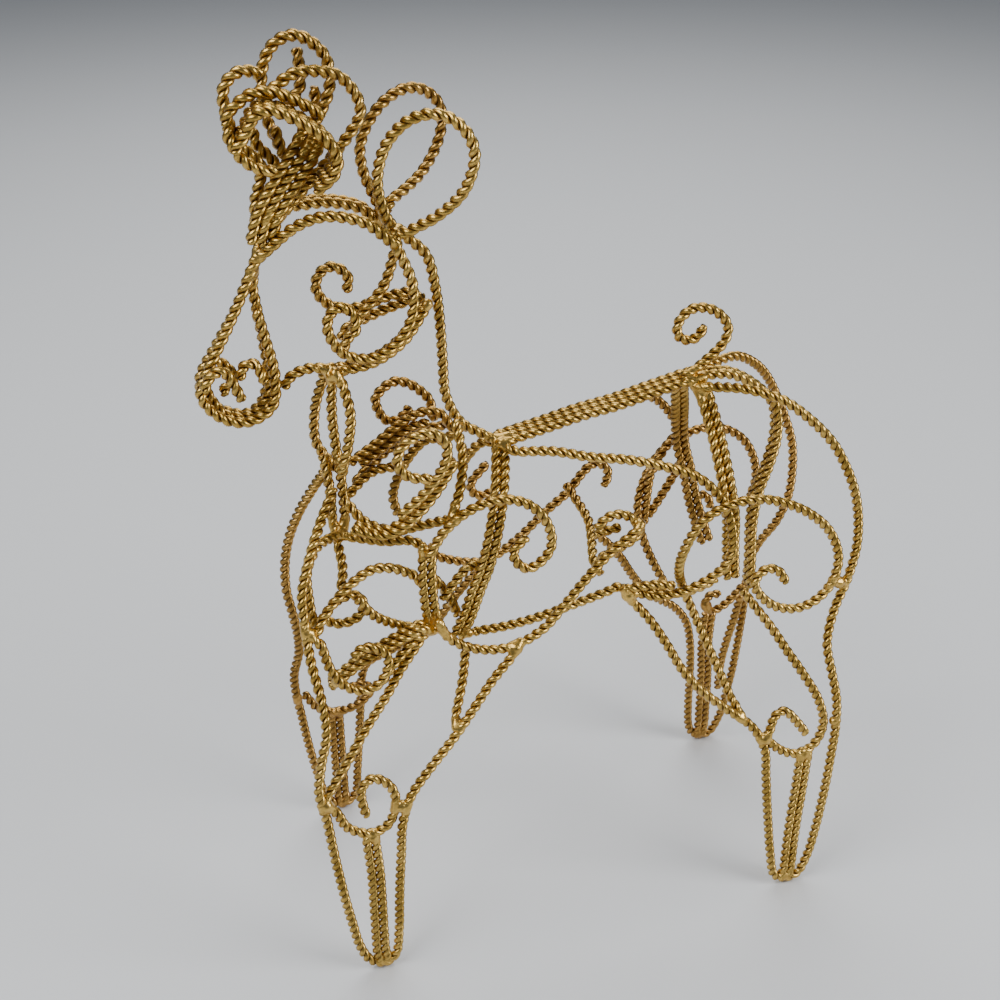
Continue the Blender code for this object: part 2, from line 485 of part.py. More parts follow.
def meeting(one, path_one, other, path_other):
    """The pair of points where two ropes come nearest to each other."""
    best = None
    for a in members(one, path_one):
        for b in members(other, path_other):
            i, j = np.meshgrid(np.arange(len(a) - 1), np.arange(len(b) - 1), indexing="ij")
            i, j = i.ravel(), j.ravel()
            s, t, away = closest(a[i], a[i + 1], b[j], b[j + 1])
            gap = np.linalg.norm(away, axis=1)
            k = int(gap.argmin())
            if best is None or gap[k] < best[0]:
                s_in = min(max(s[k], 0.15), 0.85) if i[k] in (0, len(a) - 2) else s[k]
                t_in = min(max(t[k], 0.15), 0.85) if j[k] in (0, len(b) - 2) else t[k]
                best = (gap[k], a[i[k]] + (a[i[k] + 1] - a[i[k]]) * s_in,
                        b[j[k]] + (b[j[k] + 1] - b[j[k]]) * t_in)
    return best


paths = settle({name: bends(smooth_path(points) * SHARE) for name, (points, count, across) in ROPES.items()})
lowest = min(path[:, 2].min() for path in paths.values()) - ROPE / 2
everything = np.vstack(list(paths.values()))
reindeer = bpy.data.objects.new("reindeer", None)
reindeer.location = (-(everything[:, 0].min() + everything[:, 0].max()) / 2,
                     -(everything[:, 1].min() + everything[:, 1].max()) / 2, -lowest)
bpy.context.scene.collection.objects.link(reindeer)

solids = {}
for order, (name, path) in enumerate(paths.items()):
    count, across = ROPES[name][1:]
    side = carried(path) if count == 1 else rows(path, across)
    solid = bpy.data.objects.new(name, rope_mesh(name, path, profile(count), side))
    solid.data.materials.append(gilt(name + "_gilt", 0.92 + 0.04 * (order % 5)))
    solid.parent = reindeer
    bpy.context.scene.collection.objects.link(solid)
    solids[name] = solid


def fuse(whole, piece):
    """Joins a helper solid into a whole one."""
    join = whole.modifiers.new("join_" + piece.name, "BOOLEAN")
    join.operation = "UNION"
    join.object = piece
    piece.hide_render = True
    piece.display_type = "WIRE"


for whole in reversed(list(BRAZED)):
    for piece in BRAZED[whole]:
        gap, first, second = meeting(whole, paths[whole], piece, paths[piece])
        print(whole, piece, "bridged over", round(float(gap) * 1000, 2), "mm")
        filler = bead("bead_" + piece, first, second)
        filler.parent = reindeer
        bpy.context.scene.collection.objects.link(filler)
        fuse(solids[whole], filler)
        fuse(solids[whole], solids[piece])
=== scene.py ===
"""A standing reindeer bent and brazed from twisted two-strand gilt rope, on a pale studio floor."""
import math

import bpy
import numpy as np
from mathutils import Euler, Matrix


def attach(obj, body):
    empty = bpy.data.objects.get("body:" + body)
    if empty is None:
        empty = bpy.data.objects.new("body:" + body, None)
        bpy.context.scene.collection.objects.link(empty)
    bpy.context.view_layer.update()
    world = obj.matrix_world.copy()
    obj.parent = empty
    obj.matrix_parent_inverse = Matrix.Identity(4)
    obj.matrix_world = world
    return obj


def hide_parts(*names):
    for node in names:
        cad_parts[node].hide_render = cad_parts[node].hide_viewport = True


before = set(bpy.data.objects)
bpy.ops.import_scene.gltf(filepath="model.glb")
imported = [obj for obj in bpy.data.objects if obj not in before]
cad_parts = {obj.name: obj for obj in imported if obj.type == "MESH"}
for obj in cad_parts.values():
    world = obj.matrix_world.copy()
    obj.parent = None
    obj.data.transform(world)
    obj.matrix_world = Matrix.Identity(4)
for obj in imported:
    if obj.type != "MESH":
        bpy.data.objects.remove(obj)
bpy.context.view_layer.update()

# The rope: two round strands laid up right-handed, 4.8 mm over both, bent cold by hand.
# Each rope is given by the bends that it passes through, in 415ths of the figure's height,
# with the head towards -X, the near side -Y, and the rope under the feet at height 0.
FIGURE_HEIGHT = 0.415  # from the rope under the feet to the rope of the top antler loop, centre to centre
ROPE = 0.0048  # thickness of one twisted rope
GAP = 0.0003  # clearance between neighbouring ropes of the solids
LONGEST_RUN = 0.015  # longest straight run between two bends of a rope
SHARPEST_BEND = math.radians(31)  # largest turn at one bend
SHARE = FIGURE_HEIGHT / 415
ROPES = {}
INTO = {}
PIECES = {}


def rope(name, points, count=1, across=(0, 1, 0), on=None, into=(None, None)):
    """One rope, or a flat row of ropes side by side along across. It is brazed onto the piece on, or is one.

    Its ends run on to the places in into, inside a brazed joint.
    """
    ROPES[name] = (points, count, across)
    INTO[name] = into
    PIECES.setdefault(on or name, []).append(name)


# The antlers: three open loops of rope held in a flat band, on a triple stem.
# Two short cut ends stand up inside the top loop.
rope("antler_top", [(3, 5, 380), (8, 5, 388), (12, 6, 397), (11, 6, 406), (6, 6, 412), (0, 6, 415),
                    (-7, 6, 413), (-12, 6, 406), (-13, 6, 397), (-13, 6, 388), (-10, 5, 379), (-7, 5, 371)])
rope("antler_left", [(-17, 0, 405), (-21, -2, 406), (-26, -3, 403), (-28, -3, 397), (-26, -4, 389),
                     (-24, -5, 381), (-20, -4, 376), (-16, -3, 371), (-17, -2, 364), (-19, -1, 357)],
     into=((-14, 3, 403), (-21, -1, 347)))
rope("antler_right", [(-11, -3, 399), (-7, -3, 402), (-3, -2, 404), (2, 0, 404), (8, 2, 403), (13, 4, 401),
                      (18, 5, 396), (21, 5, 390), (21, 4, 385), (18, 4, 380), (13, 3, 374), (8, 1, 370),
                      (3, 0, 366), (-2, -1, 361), (-7, -1, 356), (-11, 0, 351)],
     into=((-14, -4, 396), (-17, 0, 344)))
rope("antler_band", [(-27, -8, 386), (-24, -10, 392), (-19, -11, 395), (-13, -11, 394), (-7, -11, 391),
                     (-1, -11, 387), (4, -10, 382), (7, -9, 376), (6, -8, 371)], 3,
     into=((-27, -7, 380), (2, -7, 364)))
rope("antler_stem", [(6, -1, 383), (1, -3, 378), (-3, -5, 372), (-8, -6, 366), (-12, -6, 359),
                     (-16, -5, 352)], 3,
     (1, 0, 0), into=(None, (-20, -4, 342)))
rope("antler_tip_long", [(1, 13, 409), (1, 13, 402), (1, 12, 395), (-3, 11, 390)],
     into=(None, (-6, 9, 386)))
rope("antler_tip_short", [(6, 12, 395), (7, 12, 389), (6, 11, 383)], into=(None, (4, 8, 377)))
rope("antler_band_top", [(-27, -8, 394), (-24, -8, 397), (-20, -8, 399), (-15, -8, 400), (-10, -8, 399),
                         (-5, -8, 397), (1, -8, 393), (6, -8, 389)], on="antler_band",
     into=((-29, -7, 389), None))
rope("antler_band_loop", [(-28, -9, 384), (-26, -9, 379), (-22, -9, 375), (-17, -9, 372), (-12, -9, 372)],
     on="antler_band", into=((-28, -8, 389), None))
rope("antler_stem_left", [(-18, 3, 384), (-18, 3, 379), (-14, 3, 374), (-11, 2, 370), (-11, 1, 363)],
     on="antler_stem")
rope("antler_stem_mid", [(-11, 0, 385), (-10, 0, 378), (-8, 0, 374)], on="antler_stem")

# The head: a rope down the forehead, brow ropes round to the ears, and two open ear loops.
# The ears stand on a short double stem at the back of the brow.
rope("forehead", [(-9, 4, 366), (-13, 4, 358), (-17, 4, 348), (-20, 3, 339), (-23, 2, 331)])
rope("brow_upper", [(-8, 5, 353), (0, 7, 353), (8, 9, 352), (15, 10, 350), (22, 12, 347), (28, 13, 341)], 2,
     into=((-19, 2, 343), (31, 9, 338)))
rope("ear_stem", [(27, 1, 352), (30, 1, 344), (33, 0, 337)], 2, on="brow_upper")
rope("brow_lower", [(-19, -4, 340), (-14, -6, 345), (-7, -8, 350), (0, -10, 353), (8, -11, 353),
                    (16, -12, 351), (23, -12, 346), (28, -11, 341)], into=((-22, -3, 336), (31, -8, 338)))
rope("ear_near", [(27, -8, 350), (24, -10, 358), (24, -12, 367), (26, -14, 377), (30, -17, 385),
                  (36, -20, 390), (43, -23, 392), (51, -25, 389), (56, -27, 382), (57, -26, 373),
                  (54, -23, 363), (48, -19, 355), (42, -15, 349), (35, -12, 345)],
     into=((30, -5, 345), (32, -8, 343)))
rope("ear_far", [(28, 11, 347), (25, 11, 355), (22, 13, 364), (23, 14, 373), (28, 16, 381), (35, 18, 387),
                 (43, 20, 389), (51, 23, 386), (56, 25, 379), (56, 25, 371), (52, 22, 362),
                 (45, 18, 355), (38, 14, 351), (32, 11, 349)], into=((29, 8, 343), (31, 8, 346)))

# The muzzle: two drop-shaped loops side by side, a third rope in the bottom,
# and small scrolls between them for the nose.
rope("jaw_near", [(-21, -3, 338), (-25, -3, 329), (-31, -3, 318), (-37, -3, 306), (-44, -4, 294),
                  (-48, -4, 285), (-46, -5, 278), (-41, -6, 273), (-34, -6, 270), (-27, -6, 271),
                  (-21, -6, 276), (-19, -5, 284), (-20, -4, 295), (-22, -3, 306), (-24, -3, 316)])
rope("jaw_far", [(-32, 4, 312), (-38, 4, 302), (-44, 5, 292), (-48, 5, 284), (-46, 5, 275), (-40, 5, 270),
                 (-32, 5, 267), (-26, 5, 270), (-22, 4, 278), (-21, 4, 289), (-22, 3, 301),
                 (-23, 3, 312), (-24, 3, 322)], into=(None, (-23, 1, 331)))
rope("jaw_mid", [(-45, 0, 279), (-41, 0, 272), (-34, 0, 269), (-27, 0, 271), (-22, 0, 278)],
     into=((-47, 0, 287), (-20, 0, 290)))
rope("muzzle_arch", [(-33, -5, 288), (-32, -5, 292), (-30, -5, 294), (-27, -5, 294), (-25, -6, 291),
                     (-24, -8, 287)])
rope("muzzle_near", [(-47, -9, 287), (-46, -9, 291), (-43, -9, 294), (-40, -9, 295), (-37, -9, 292),
                     (-35, -9, 288), (-33, -9, 281)], on="muzzle_arch")
rope("muzzle_far", [(-43, 1, 297), (-40, 1, 296), (-37, 1, 293), (-35, 1, 289), (-36, 1, 285),
                    (-39, 1, 282), (-39, 1, 279)])

# The cheeks: a double band from the throat to the nape, an arch up to the brow,
# and a scroll on each side.
rope("jaw_band", [(7, 1, 284), (14, 0, 285), (20, -1, 287), (27, -2, 291), (34, -2, 296), (40, -2, 303),
                  (44, -1, 309)], 2, into=((3, 0, 283), None))
rope("jaw_link", [(-16, -1, 280), (-13, 0, 284), (-9, 0, 286), (-4, 0, 287), (1, 0, 286)], on="jaw_band",
     into=(None, (4, 0, 284)))
rope("cheek_arch", [(33, 6, 331), (31, 6, 323), (27, 5, 316), (21, 4, 310), (16, 3, 304), (11, 2, 297),
                    (8, 1, 290)], on="jaw_band")
rope("cheek_near", [(31, -9, 337), (35, -10, 329), (36, -11, 317), (34, -11, 306), (28, -11, 298),
                    (18, -10, 293), (9, -9, 295), (4, -9, 301), (2, -9, 308), (4, -9, 314), (9, -10, 316),
                    (13, -11, 311), (12, -11, 304)], into=((31, -5, 342), None))
rope("cheek_far", [(13, 9, 314), (14, 9, 320), (9, 9, 325), (4, 9, 324), (1, 9, 318), (3, 9, 312),
                   (8, 9, 308), (14, 8, 307), (22, 8, 308), (31, 7, 311), (40, 6, 312)])
rope("cheek_far_brace", [(13, 9, 299), (17, 9, 301), (22, 9, 303), (28, 9, 305), (34, 8, 308), (39, 7, 310)],
     on="cheek_far", into=((9, 6, 295), (43, 4, 311)))

# The neck: one rope down the back, and a front of three ropes with a short fourth where they meet.
# A small scroll lies on the far side of its foot.
rope("neck_back", [(34, -1, 338), (39, -1, 334), (43, 0, 328), (45, 0, 320), (47, 0, 309), (48, 0, 296),
                   (49, 0, 279), (50, 0, 267), (54, 0, 257), (61, 0, 249), (70, 0, 244)],
     into=((33, -2, 342), (75, 0, 243)))
rope("neck_front_mid", [(4, 0, 281), (3, -1, 270), (3, -1, 257), (4, -1, 243), (5, 0, 229), (5, 0, 214)],
     into=((4, 0, 286), (3, -2, 207)))
rope("neck_front_low", [(-2, 2, 246), (-1, 1, 238), (0, 0, 226), (0, 0, 214)], on="neck_front_mid",
     into=(None, (1, -2, 208)))
rope("neck_front_far", [(1, 6, 279), (-1, 8, 272), (-3, 9, 263), (-4, 8, 254), (-3, 7, 246), (1, 6, 240)],
     on="neck_front_mid", into=((2, 3, 284), (4, 4, 236)))
rope("neck_front_near", [(7, -5, 281), (9, -7, 275), (9, -8, 268), (8, -8, 260), (7, -7, 251), (5, -6, 243)],
     on="neck_front_mid", into=((5, -3, 285), (5, -4, 239)))
rope("neck_scroll", [(49, 24, 248), (49, 24, 252), (46, 24, 256), (43, 24, 260), (38, 24, 263),
                     (33, 24, 264), (28, 24, 261), (25, 24, 257), (26, 24, 251), (29, 24, 246),
                     (33, 24, 245), (37, 24, 247), (40, 24, 251)], into=((50, 20, 245), None))

# The collar and shoulders: ropes that run back from the chest and curl over on both sides,
# with a double column down from the withers.
rope("collar_upper", [(56, 17, 243), (52, 18, 249), (46, 18, 251), (41, 18, 250), (35, 18, 247),
                      (29, 17, 243), (23, 15, 240), (17, 13, 238), (10, 10, 235)],
     into=((60, 10, 245), None))
rope("collar_upper_pair", [(47, 17, 246), (40, 18, 245), (34, 18, 241), (28, 17, 238), (22, 15, 235),
                           (15, 13, 232)],
     on="collar_upper")
rope("arch_far", [(76, 30, 214), (73, 30, 210), (68, 30, 204), (70, 30, 198), (75, 30, 197), (81, 30, 201),
                  (83, 30, 210), (82, 30, 219), (76, 30, 227), (69, 29, 233), (60, 27, 237), (51, 25, 239),
                  (43, 24, 238), (34, 22, 235), (26, 20, 231), (18, 16, 227), (12, 12, 223)])
rope("collar_lower", [(36, 13, 230), (28, 13, 230), (20, 12, 229), (14, 10, 226), (8, 6, 221)])
rope("shoulder_ring", [(25, -27, 227), (33, -28, 234), (40, -29, 243), (45, -30, 253), (45, -30, 261),
                       (40, -30, 266), (34, -30, 266), (28, -30, 262), (26, -30, 256), (29, -30, 250),
                       (35, -30, 247), (41, -30, 247)])
rope("shoulder_inner", [(51, 10, 240), (46, 12, 241), (41, 14, 237), (36, 16, 228), (31, 18, 219),
                        (30, 20, 208), (32, 21, 199)], into=((57, 6, 248), None))
rope("shoulder_bundle", [(8, -13, 219), (15, -18, 218), (23, -22, 220), (31, -24, 227), (38, -24, 235),
                         (44, -24, 243), (48, -23, 250)], 2)
rope("withers_side", [(53, -8, 257), (53, -14, 251), (53, -20, 245), (51, -25, 238), (48, -28, 230)],
     into=((55, -2, 254), (46, -28, 225)))
rope("withers_column", [(73, -4, 239), (71, -10, 232), (69, -16, 224), (66, -20, 213), (62, -22, 198),
                        (57, -21, 182), (53, -20, 168), (49, -19, 158)], 2, (1, 0, 0),
     into=((74, -1, 243), None))
rope("withers_arch", [(73, 3, 240), (67, 6, 239), (62, 9, 232), (59, 12, 225)], on="withers_column")
rope("girth_tie", [(59, -19, 193), (53, -20, 192), (47, -20, 186), (41, -21, 180)], on="withers_column")
rope("shoulder_arch", [(34, -27, 207), (39, -28, 217), (45, -29, 225), (52, -30, 230), (60, -31, 233),
                       (68, -31, 233), (76, -32, 230), (82, -32, 224), (86, -32, 216), (87, -32, 207),
                       (83, -32, 200), (77, -32, 197), (72, -32, 201), (71, -32, 207), (77, -32, 213)])
rope("shoulder_column", [(36, -24, 211), (35, -25, 201), (35, -25, 186), (36, -25, 172)], 2, (1, 0, 0),
     into=(None, (37, -24, 168)))
rope("girth_brace", [(39, -19, 190), (43, -19, 183), (48, -19, 174), (51, -18, 165)], on="shoulder_column")

# The chest: ropes that cross from the neck to the near shoulder, an arch and a scroll below them,
# and a diagonal that braces the breast to the leg.
rope("chest_tie", [(1, -5, 210), (-5, -12, 213), (-10, -18, 213), (-14, -22, 208), (-16, -24, 200),
                   (-15, -25, 189), (-14, -26, 179)], into=((3, -2, 210), None))
rope("chest_cup", [(4, -5, 228), (8, -8, 222), (13, -12, 218), (19, -15, 216), (26, -18, 216),
                   (31, -20, 218)], into=(None, (44, -27, 224)))
rope("chest_bar", [(6, -5, 208), (14, -9, 207), (22, -14, 208), (29, -19, 210), (34, -22, 208)],
     into=((2, -4, 209), None))
rope("brisket_arch", [(31, -22, 194), (25, -24, 199), (17, -24, 202), (9, -24, 201), (1, -25, 196),
                      (-6, -27, 191), (-12, -29, 184), (-15, -31, 180)],
     into=((34, -24, 190), (-18, -32, 178)))
rope("brisket_scroll", [(-11, -20, 180), (-5, -20, 175), (2, -20, 175), (7, -20, 179), (7, -20, 186),
                        (2, -20, 189), (-4, -21, 187)], on="brisket_arch")
rope("brisket_diagonal", [(1, -21, 193), (6, -21, 184), (15, -20, 175), (23, -19, 169), (31, -19, 165)],
     on="brisket_arch", into=(None, (36, -21, 165)))
rope("chest_drop", [(1, -3, 205), (1, -8, 200), (1, -15, 196), (-1, -21, 190)], on="brisket_arch",
     into=((2, -2, 209), None))

# The front legs: one rope runs down from the neck, under the foot and up the back of the leg.
# A double shank stands between, with a fetlock loop round its top.
NEAR_FRONT = [(1, -5, 233), (-4, -12, 227), (-10, -19, 221), (-14, -25, 213), (-18, -28, 202),
              (-19, -30, 189), (-18, -34, 176), (-18, -39, 165), (-16, -44, 155), (-15, -48, 144),
              (-17, -50, 132), (-20, -51, 121), (-21, -52, 108), (-19, -52, 96), (-17, -53, 75),
              (-14, -54, 48), (-10, -54, 22), (-6, -55, 6), (2, -55, 0), (8, -55, 5), (10, -54, 20),
              (11, -54, 42), (13, -53, 68), (15, -52, 88), (18, -51, 97), (26, -49, 108), (36, -46, 118),
              (46, -42, 128), (55, -38, 138), (64, -33, 146), (70, -31, 151)]
FAR_FRONT = [(-1, 8, 234), (-5, 14, 224), (-11, 20, 210), (-16, 25, 195), (-19, 28, 180), (-20, 29, 165),
             (-18, 31, 148), (-16, 35, 131), (-16, 40, 115), (-19, 44, 98), (-17, 48, 75), (-14, 51, 48),
             (-10, 53, 22), (-6, 54, 6), (2, 55, 0), (8, 55, 5), (10, 54, 20), (12, 54, 42), (14, 53, 68),
             (15, 52, 84), (18, 50, 96), (29, 47, 104), (40, 42, 113), (50, 37, 124), (57, 33, 138),
             (65, 29, 152), (72, 28, 160)]
SHANK = [(0, -52, 74), (1, -53, 56), (1, -54, 31), (1, -55, 8)]
FETLOCK = [(-15, -52, 96), (-13, -51, 89), (-8, -51, 83), (0, -51, 80), (7, -51, 83), (11, -51, 92),
           (11, -51, 102), (6, -51, 110), (1, -51, 112), (-3, -51, 107), (-3, -51, 99), (-1, -51, 91)]
rope("front_near", NEAR_FRONT, into=(None, (75, -29, 156)))
rope("front_near_brace", [(52, -26, 156), (50, -30, 146), (47, -35, 136), (44, -39, 129)], on="front_near",
     into=(None, (42, -43, 125)))
rope("front_near_inner", [(31, -27, 165), (23, -30, 157), (12, -36, 143), (0, -42, 129), (-10, -48, 117),
                          (-16, -50, 109)], into=((35, -25, 168), (-19, -51, 104)))
rope("front_near_inner_pair", [(27, -29, 164), (19, -31, 158), (11, -34, 149)],
     on="front_near", into=((33, -25, 167), None))
rope("front_far", FAR_FRONT)
rope("front_near_shank", SHANK, 2, (1, 0, 0), into=((0, -51, 80), (2, -55, 1)))
rope("front_near_fetlock", FETLOCK, on="front_near_shank", into=((-18, -52, 102), None))
rope("front_far_shank", [(1, 53, 61), (1, 54, 44), (1, 54, 26), (1, 55, 8)], 2, (1, 0, 0),
     into=((1, 51, 68), (2, 55, 1)))
rope("front_far_fetlock", [(-14, 51, 82), (-11, 51, 75), (-6, 51, 70), (1, 50, 68), (8, 47, 71),
                           (15, 46, 76), (19, 46, 82), (14, 46, 86), (8, 46, 85)], on="front_far_shank")
rope("knee_near", [(-15, -35, 176), (-14, -35, 170), (-12, -35, 164), (-10, -35, 158), (-5, -35, 152),
                   (0, -35, 149), (6, -35, 149), (11, -35, 153), (14, -35, 160), (13, -35, 167),
                   (8, -35, 171), (3, -35, 171), (0, -35, 167)], into=((-17, -33, 180), None))
rope("knee_bar", [(31, -27, 173), (24, -27, 170), (15, -27, 165), (6, -27, 160), (-3, -27, 154),
                  (-10, -27, 148)], 2,
     on="knee_near", into=((35, -24, 168), None))

# The belly and flanks: a long rope on each side from the withers to the haunch and back under it,
# belly ropes that curl up in the middle, and a triple spine.
rope("belly_upper", [(56, -18, 157), (68, -18, 157), (81, -19, 159), (95, -20, 163), (110, -22, 168),
                     (122, -24, 173)], into=(None, (130, -27, 170)))
rope("belly_lower", [(38, -27, 175), (41, -27, 167), (47, -28, 161), (56, -28, 156), (67, -28, 154),
                     (78, -28, 156), (88, -28, 163), (97, -28, 174), (106, -28, 185), (114, -28, 194),
                     (122, -28, 200), (127, -28, 204)], into=(None, (130, -26, 206)))
rope("middle_ring", [(114, -23, 190), (121, -23, 193), (128, -23, 197), (131, -23, 202), (127, -23, 208),
                     (121, -23, 211), (115, -23, 210), (111, -22, 205)], on="belly_lower")
rope("middle_ring_inner", [(113, -16, 198), (118, -17, 199), (124, -18, 201)], on="belly_lower")
rope("belly_far", [(42, 26, 176), (49, 27, 170), (57, 27, 166), (66, 27, 163), (75, 27, 163), (84, 27, 168),
                   (93, 26, 176), (102, 26, 185), (110, 26, 192), (117, 26, 198), (121, 26, 205),
                   (126, 26, 208), (131, 26, 206), (133, 26, 201), (131, 26, 195)])
rope("body_strut", [(114, 21, 197), (116, 13, 192), (118, 5, 189), (116, -3, 185), (114, -11, 181),
                    (116, -18, 177)], into=((112, 25, 200), None))
rope("flank_near", [(79, -9, 241), (91, -13, 242), (105, -18, 240), (120, -24, 240), (135, -28, 237),
                    (148, -31, 233), (158, -33, 226), (166, -34, 214), (170, -34, 200), (170, -33, 186),
                    (162, -31, 176), (150, -29, 170), (139, -27, 168), (129, -26, 171)],
     into=((74, -4, 242), None))
rope("flank_rail", [(123, -27, 174), (133, -29, 176), (146, -31, 174)], on="flank_near")
rope("flank_rail_low", [(131, -24, 170), (141, -25, 167), (151, -25, 166), (161, -26, 168), (169, -27, 172)],
     on="flank_near")
rope("flank_far", [(80, 9, 241), (96, 12, 242), (115, 18, 242), (134, 24, 241), (149, 28, 239),
                   (160, 31, 229), (167, 33, 217), (170, 33, 205), (168, 32, 195), (163, 31, 186),
                   (157, 30, 178), (153, 29, 171)], into=((75, 4, 242), None))
rope("spine", [(78, 0, 244), (92, 0, 247), (109, 0, 251), (127, 0, 254), (143, 0, 258), (156, 0, 261)], 3,
     into=((73, 0, 243), (164, 0, 262)))

# The rump: a double rope over the middle, double ropes down each hip,
# the coiled tail, and a big open scroll on each haunch.
rope("tail", [(161, -2, 266), (167, -1, 270), (173, 0, 275), (175, 0, 282), (171, 0, 289), (164, 0, 293),
              (157, 0, 293), (152, 0, 288), (152, 0, 282), (156, 0, 279), (161, 0, 280), (164, 0, 285)],
     into=((154, -3, 263), None))
rope("rump_mid", [(165, 0, 262), (174, 0, 262), (184, 0, 257), (193, 0, 251), (200, 0, 243), (203, 0, 231),
                  (202, 0, 216), (198, 0, 202), (196, 0, 188), (196, 0, 173), (197, -1, 158), (197, -2, 145)],
     2, into=((159, 0, 261), None))
rope("hip_near", [(163, -8, 257), (164, -15, 249), (165, -22, 240), (166, -28, 229), (168, -31, 217),
                  (171, -29, 205), (173, -27, 192), (174, -26, 180), (175, -27, 170)], 2, (1, 0, 0),
     into=((161, -3, 260), None))
rope("hip_far", [(157, 6, 254), (161, 13, 240), (165, 21, 226), (168, 25, 213), (172, 25, 199),
                 (176, 25, 182), (181, 26, 167), (186, 27, 154)], 2, (1, 0, 0), into=((156, 2, 257), None))
rope("haunch_near", [(174, -42, 112), (170, -39, 122), (165, -34, 135), (160, -29, 148), (155, -25, 161),
                     (150, -28, 174), (147, -34, 187), (148, -37, 198), (152, -39, 209), (159, -40, 216),
                     (169, -40, 219), (182, -40, 218), (195, -39, 212), (207, -39, 204), (217, -39, 192),
                     (221, -39, 180), (220, -39, 169), (214, -39, 160), (204, -39, 156), (193, -39, 159),
                     (184, -39, 167), (181, -39, 176), (186, -39, 181), (192, -39, 179), (196, -39, 172)],
     into=((177, -45, 107), None))
rope("haunch_far", [(165, 26, 134), (159, 26, 146), (154, 27, 159), (150, 28, 172), (151, 30, 182),
                    (155, 33, 192), (162, 36, 201), (171, 38, 207), (181, 39, 210), (192, 40, 210),
                    (203, 40, 205), (211, 40, 196), (215, 40, 186), (216, 40, 176), (213, 39, 168)])
rope("haunch_far_rise", [(156, 30, 196), (161, 32, 203), (167, 34, 209), (174, 35, 213)], on="haunch_far",
     into=((154, 30, 168), None))
rope("haunch_far_curl", [(186, 38, 175), (190, 38, 172), (192, 38, 166)], on="haunch_far")

# The hind legs: one rope runs over the rump, down the back, under the foot and up to the shin.
# A double shank stands between, with a hock loop on the near leg and a scroll on the far one.
NEAR_HIND = [(165, -10, 260), (171, -16, 262), (180, -22, 262), (190, -27, 259), (201, -31, 251),
             (211, -33, 241), (220, -34, 227), (228, -34, 209), (232, -34, 188), (231, -35, 172),
             (227, -36, 159), (221, -40, 146), (219, -44, 134), (222, -48, 119), (225, -51, 102),
             (225, -52, 80), (224, -53, 57), (222, -54, 35), (219, -55, 14), (214, -56, 2), (208, -56, 0),
             (201, -56, 4), (198, -55, 18), (195, -53, 42), (192, -52, 66), (190, -51, 84),
             (186, -50, 94), (179, -48, 103), (169, -46, 111), (159, -43, 120), (150, -39, 131),
             (142, -34, 146), (134, -30, 159), (128, -27, 166)]
FAR_HIND = [(172, 8, 262), (183, 13, 262), (195, 18, 256), (204, 23, 248), (213, 28, 236), (221, 32, 221),
            (229, 34, 204), (232, 34, 187), (232, 34, 170), (228, 36, 153), (222, 40, 139), (219, 43, 126),
            (220, 46, 110), (221, 48, 92), (221, 50, 70), (220, 51, 48), (218, 53, 26), (216, 55, 9),
            (212, 56, 1), (207, 56, 0), (201, 56, 4), (198, 55, 18), (196, 53, 44), (194, 51, 68),
            (190, 49, 86), (184, 47, 98), (175, 45, 106), (164, 41, 117), (155, 37, 129), (148, 34, 141),
            (141, 31, 153), (134, 29, 162), (127, 27, 169)]
HOCK = [(183, -33, 160), (189, -37, 152), (197, -42, 139), (206, -46, 125), (214, -49, 111),
        (219, -50, 98), (218, -50, 85), (212, -50, 78), (204, -50, 78), (196, -50, 84)]
rope("hind_near", NEAR_HIND, into=((160, -6, 259), (124, -27, 173)))
rope("hind_far", FAR_HIND, into=((164, 4, 263), None))
rope("hind_near_shank", [(211, -51, 72), (210, -52, 53), (208, -54, 32), (207, -56, 8)], 2, (1, 0, 0),
     into=((212, -50, 78), (207, -56, 1)))
rope("hind_near_hock", HOCK, on="hind_near_shank", into=((179, -31, 166), (190, -51, 91)))
rope("hind_near_curl", [(192, -50, 97), (193, -50, 103), (197, -50, 106), (203, -50, 101), (211, -50, 89)],
     on="hind_near_shank", into=((190, -51, 92), None))
rope("hind_far_shank", [(202, 50, 84), (202, 51, 66), (204, 53, 44), (205, 55, 12)], 2, (1, 0, 0),
     into=((202, 49, 92), (206, 55, 1)))
rope("hind_far_curl", [(218, 45, 103), (218, 46, 96), (216, 47, 85), (214, 49, 69), (213, 51, 54),
                       (213, 52, 36)], on="hind_far_shank")
rope("hind_far_hock", [(218, 43, 113), (213, 44, 106), (207, 44, 100), (201, 44, 98), (197, 44, 102),
                       (199, 44, 107), (205, 44, 107)], on="hind_far_shank")
# Short ropes that have no solid of their own. middle_ring_inner and haunch_far_curl touch no other rope.
SCENE_ONLY = {"antler_band_top", "antler_band_loop", "antler_stem_left", "antler_stem_mid", "cheek_far_brace",
              "collar_upper_pair", "withers_arch", "girth_tie", "chest_drop", "front_near_inner_pair",
              "flank_rail", "flank_rail_low", "middle_ring_inner", "haunch_far_rise", "haunch_far_curl"}

# Bending: the ropes are run through their bends, then eased sideways until none lies inside another,
# as they do when they are pressed together for brazing. The first easing is the one of the solids;
# the second takes finer points and all ropes, and lets neighbours press into each other a little.
FINE_STEP = 0.0030  # between the points of an eased rope
PRESSED = 0.97  # nearest middle lines, in rope thicknesses
ROW_PITCH = 0.8  # between the ropes of a row, in rope thicknesses
LOOK_AGAIN = 25  # steps of easing between two searches for ropes that are near each other
LOOK_ROUND = 0.004  # how much farther such a search looks than ropes may be apart


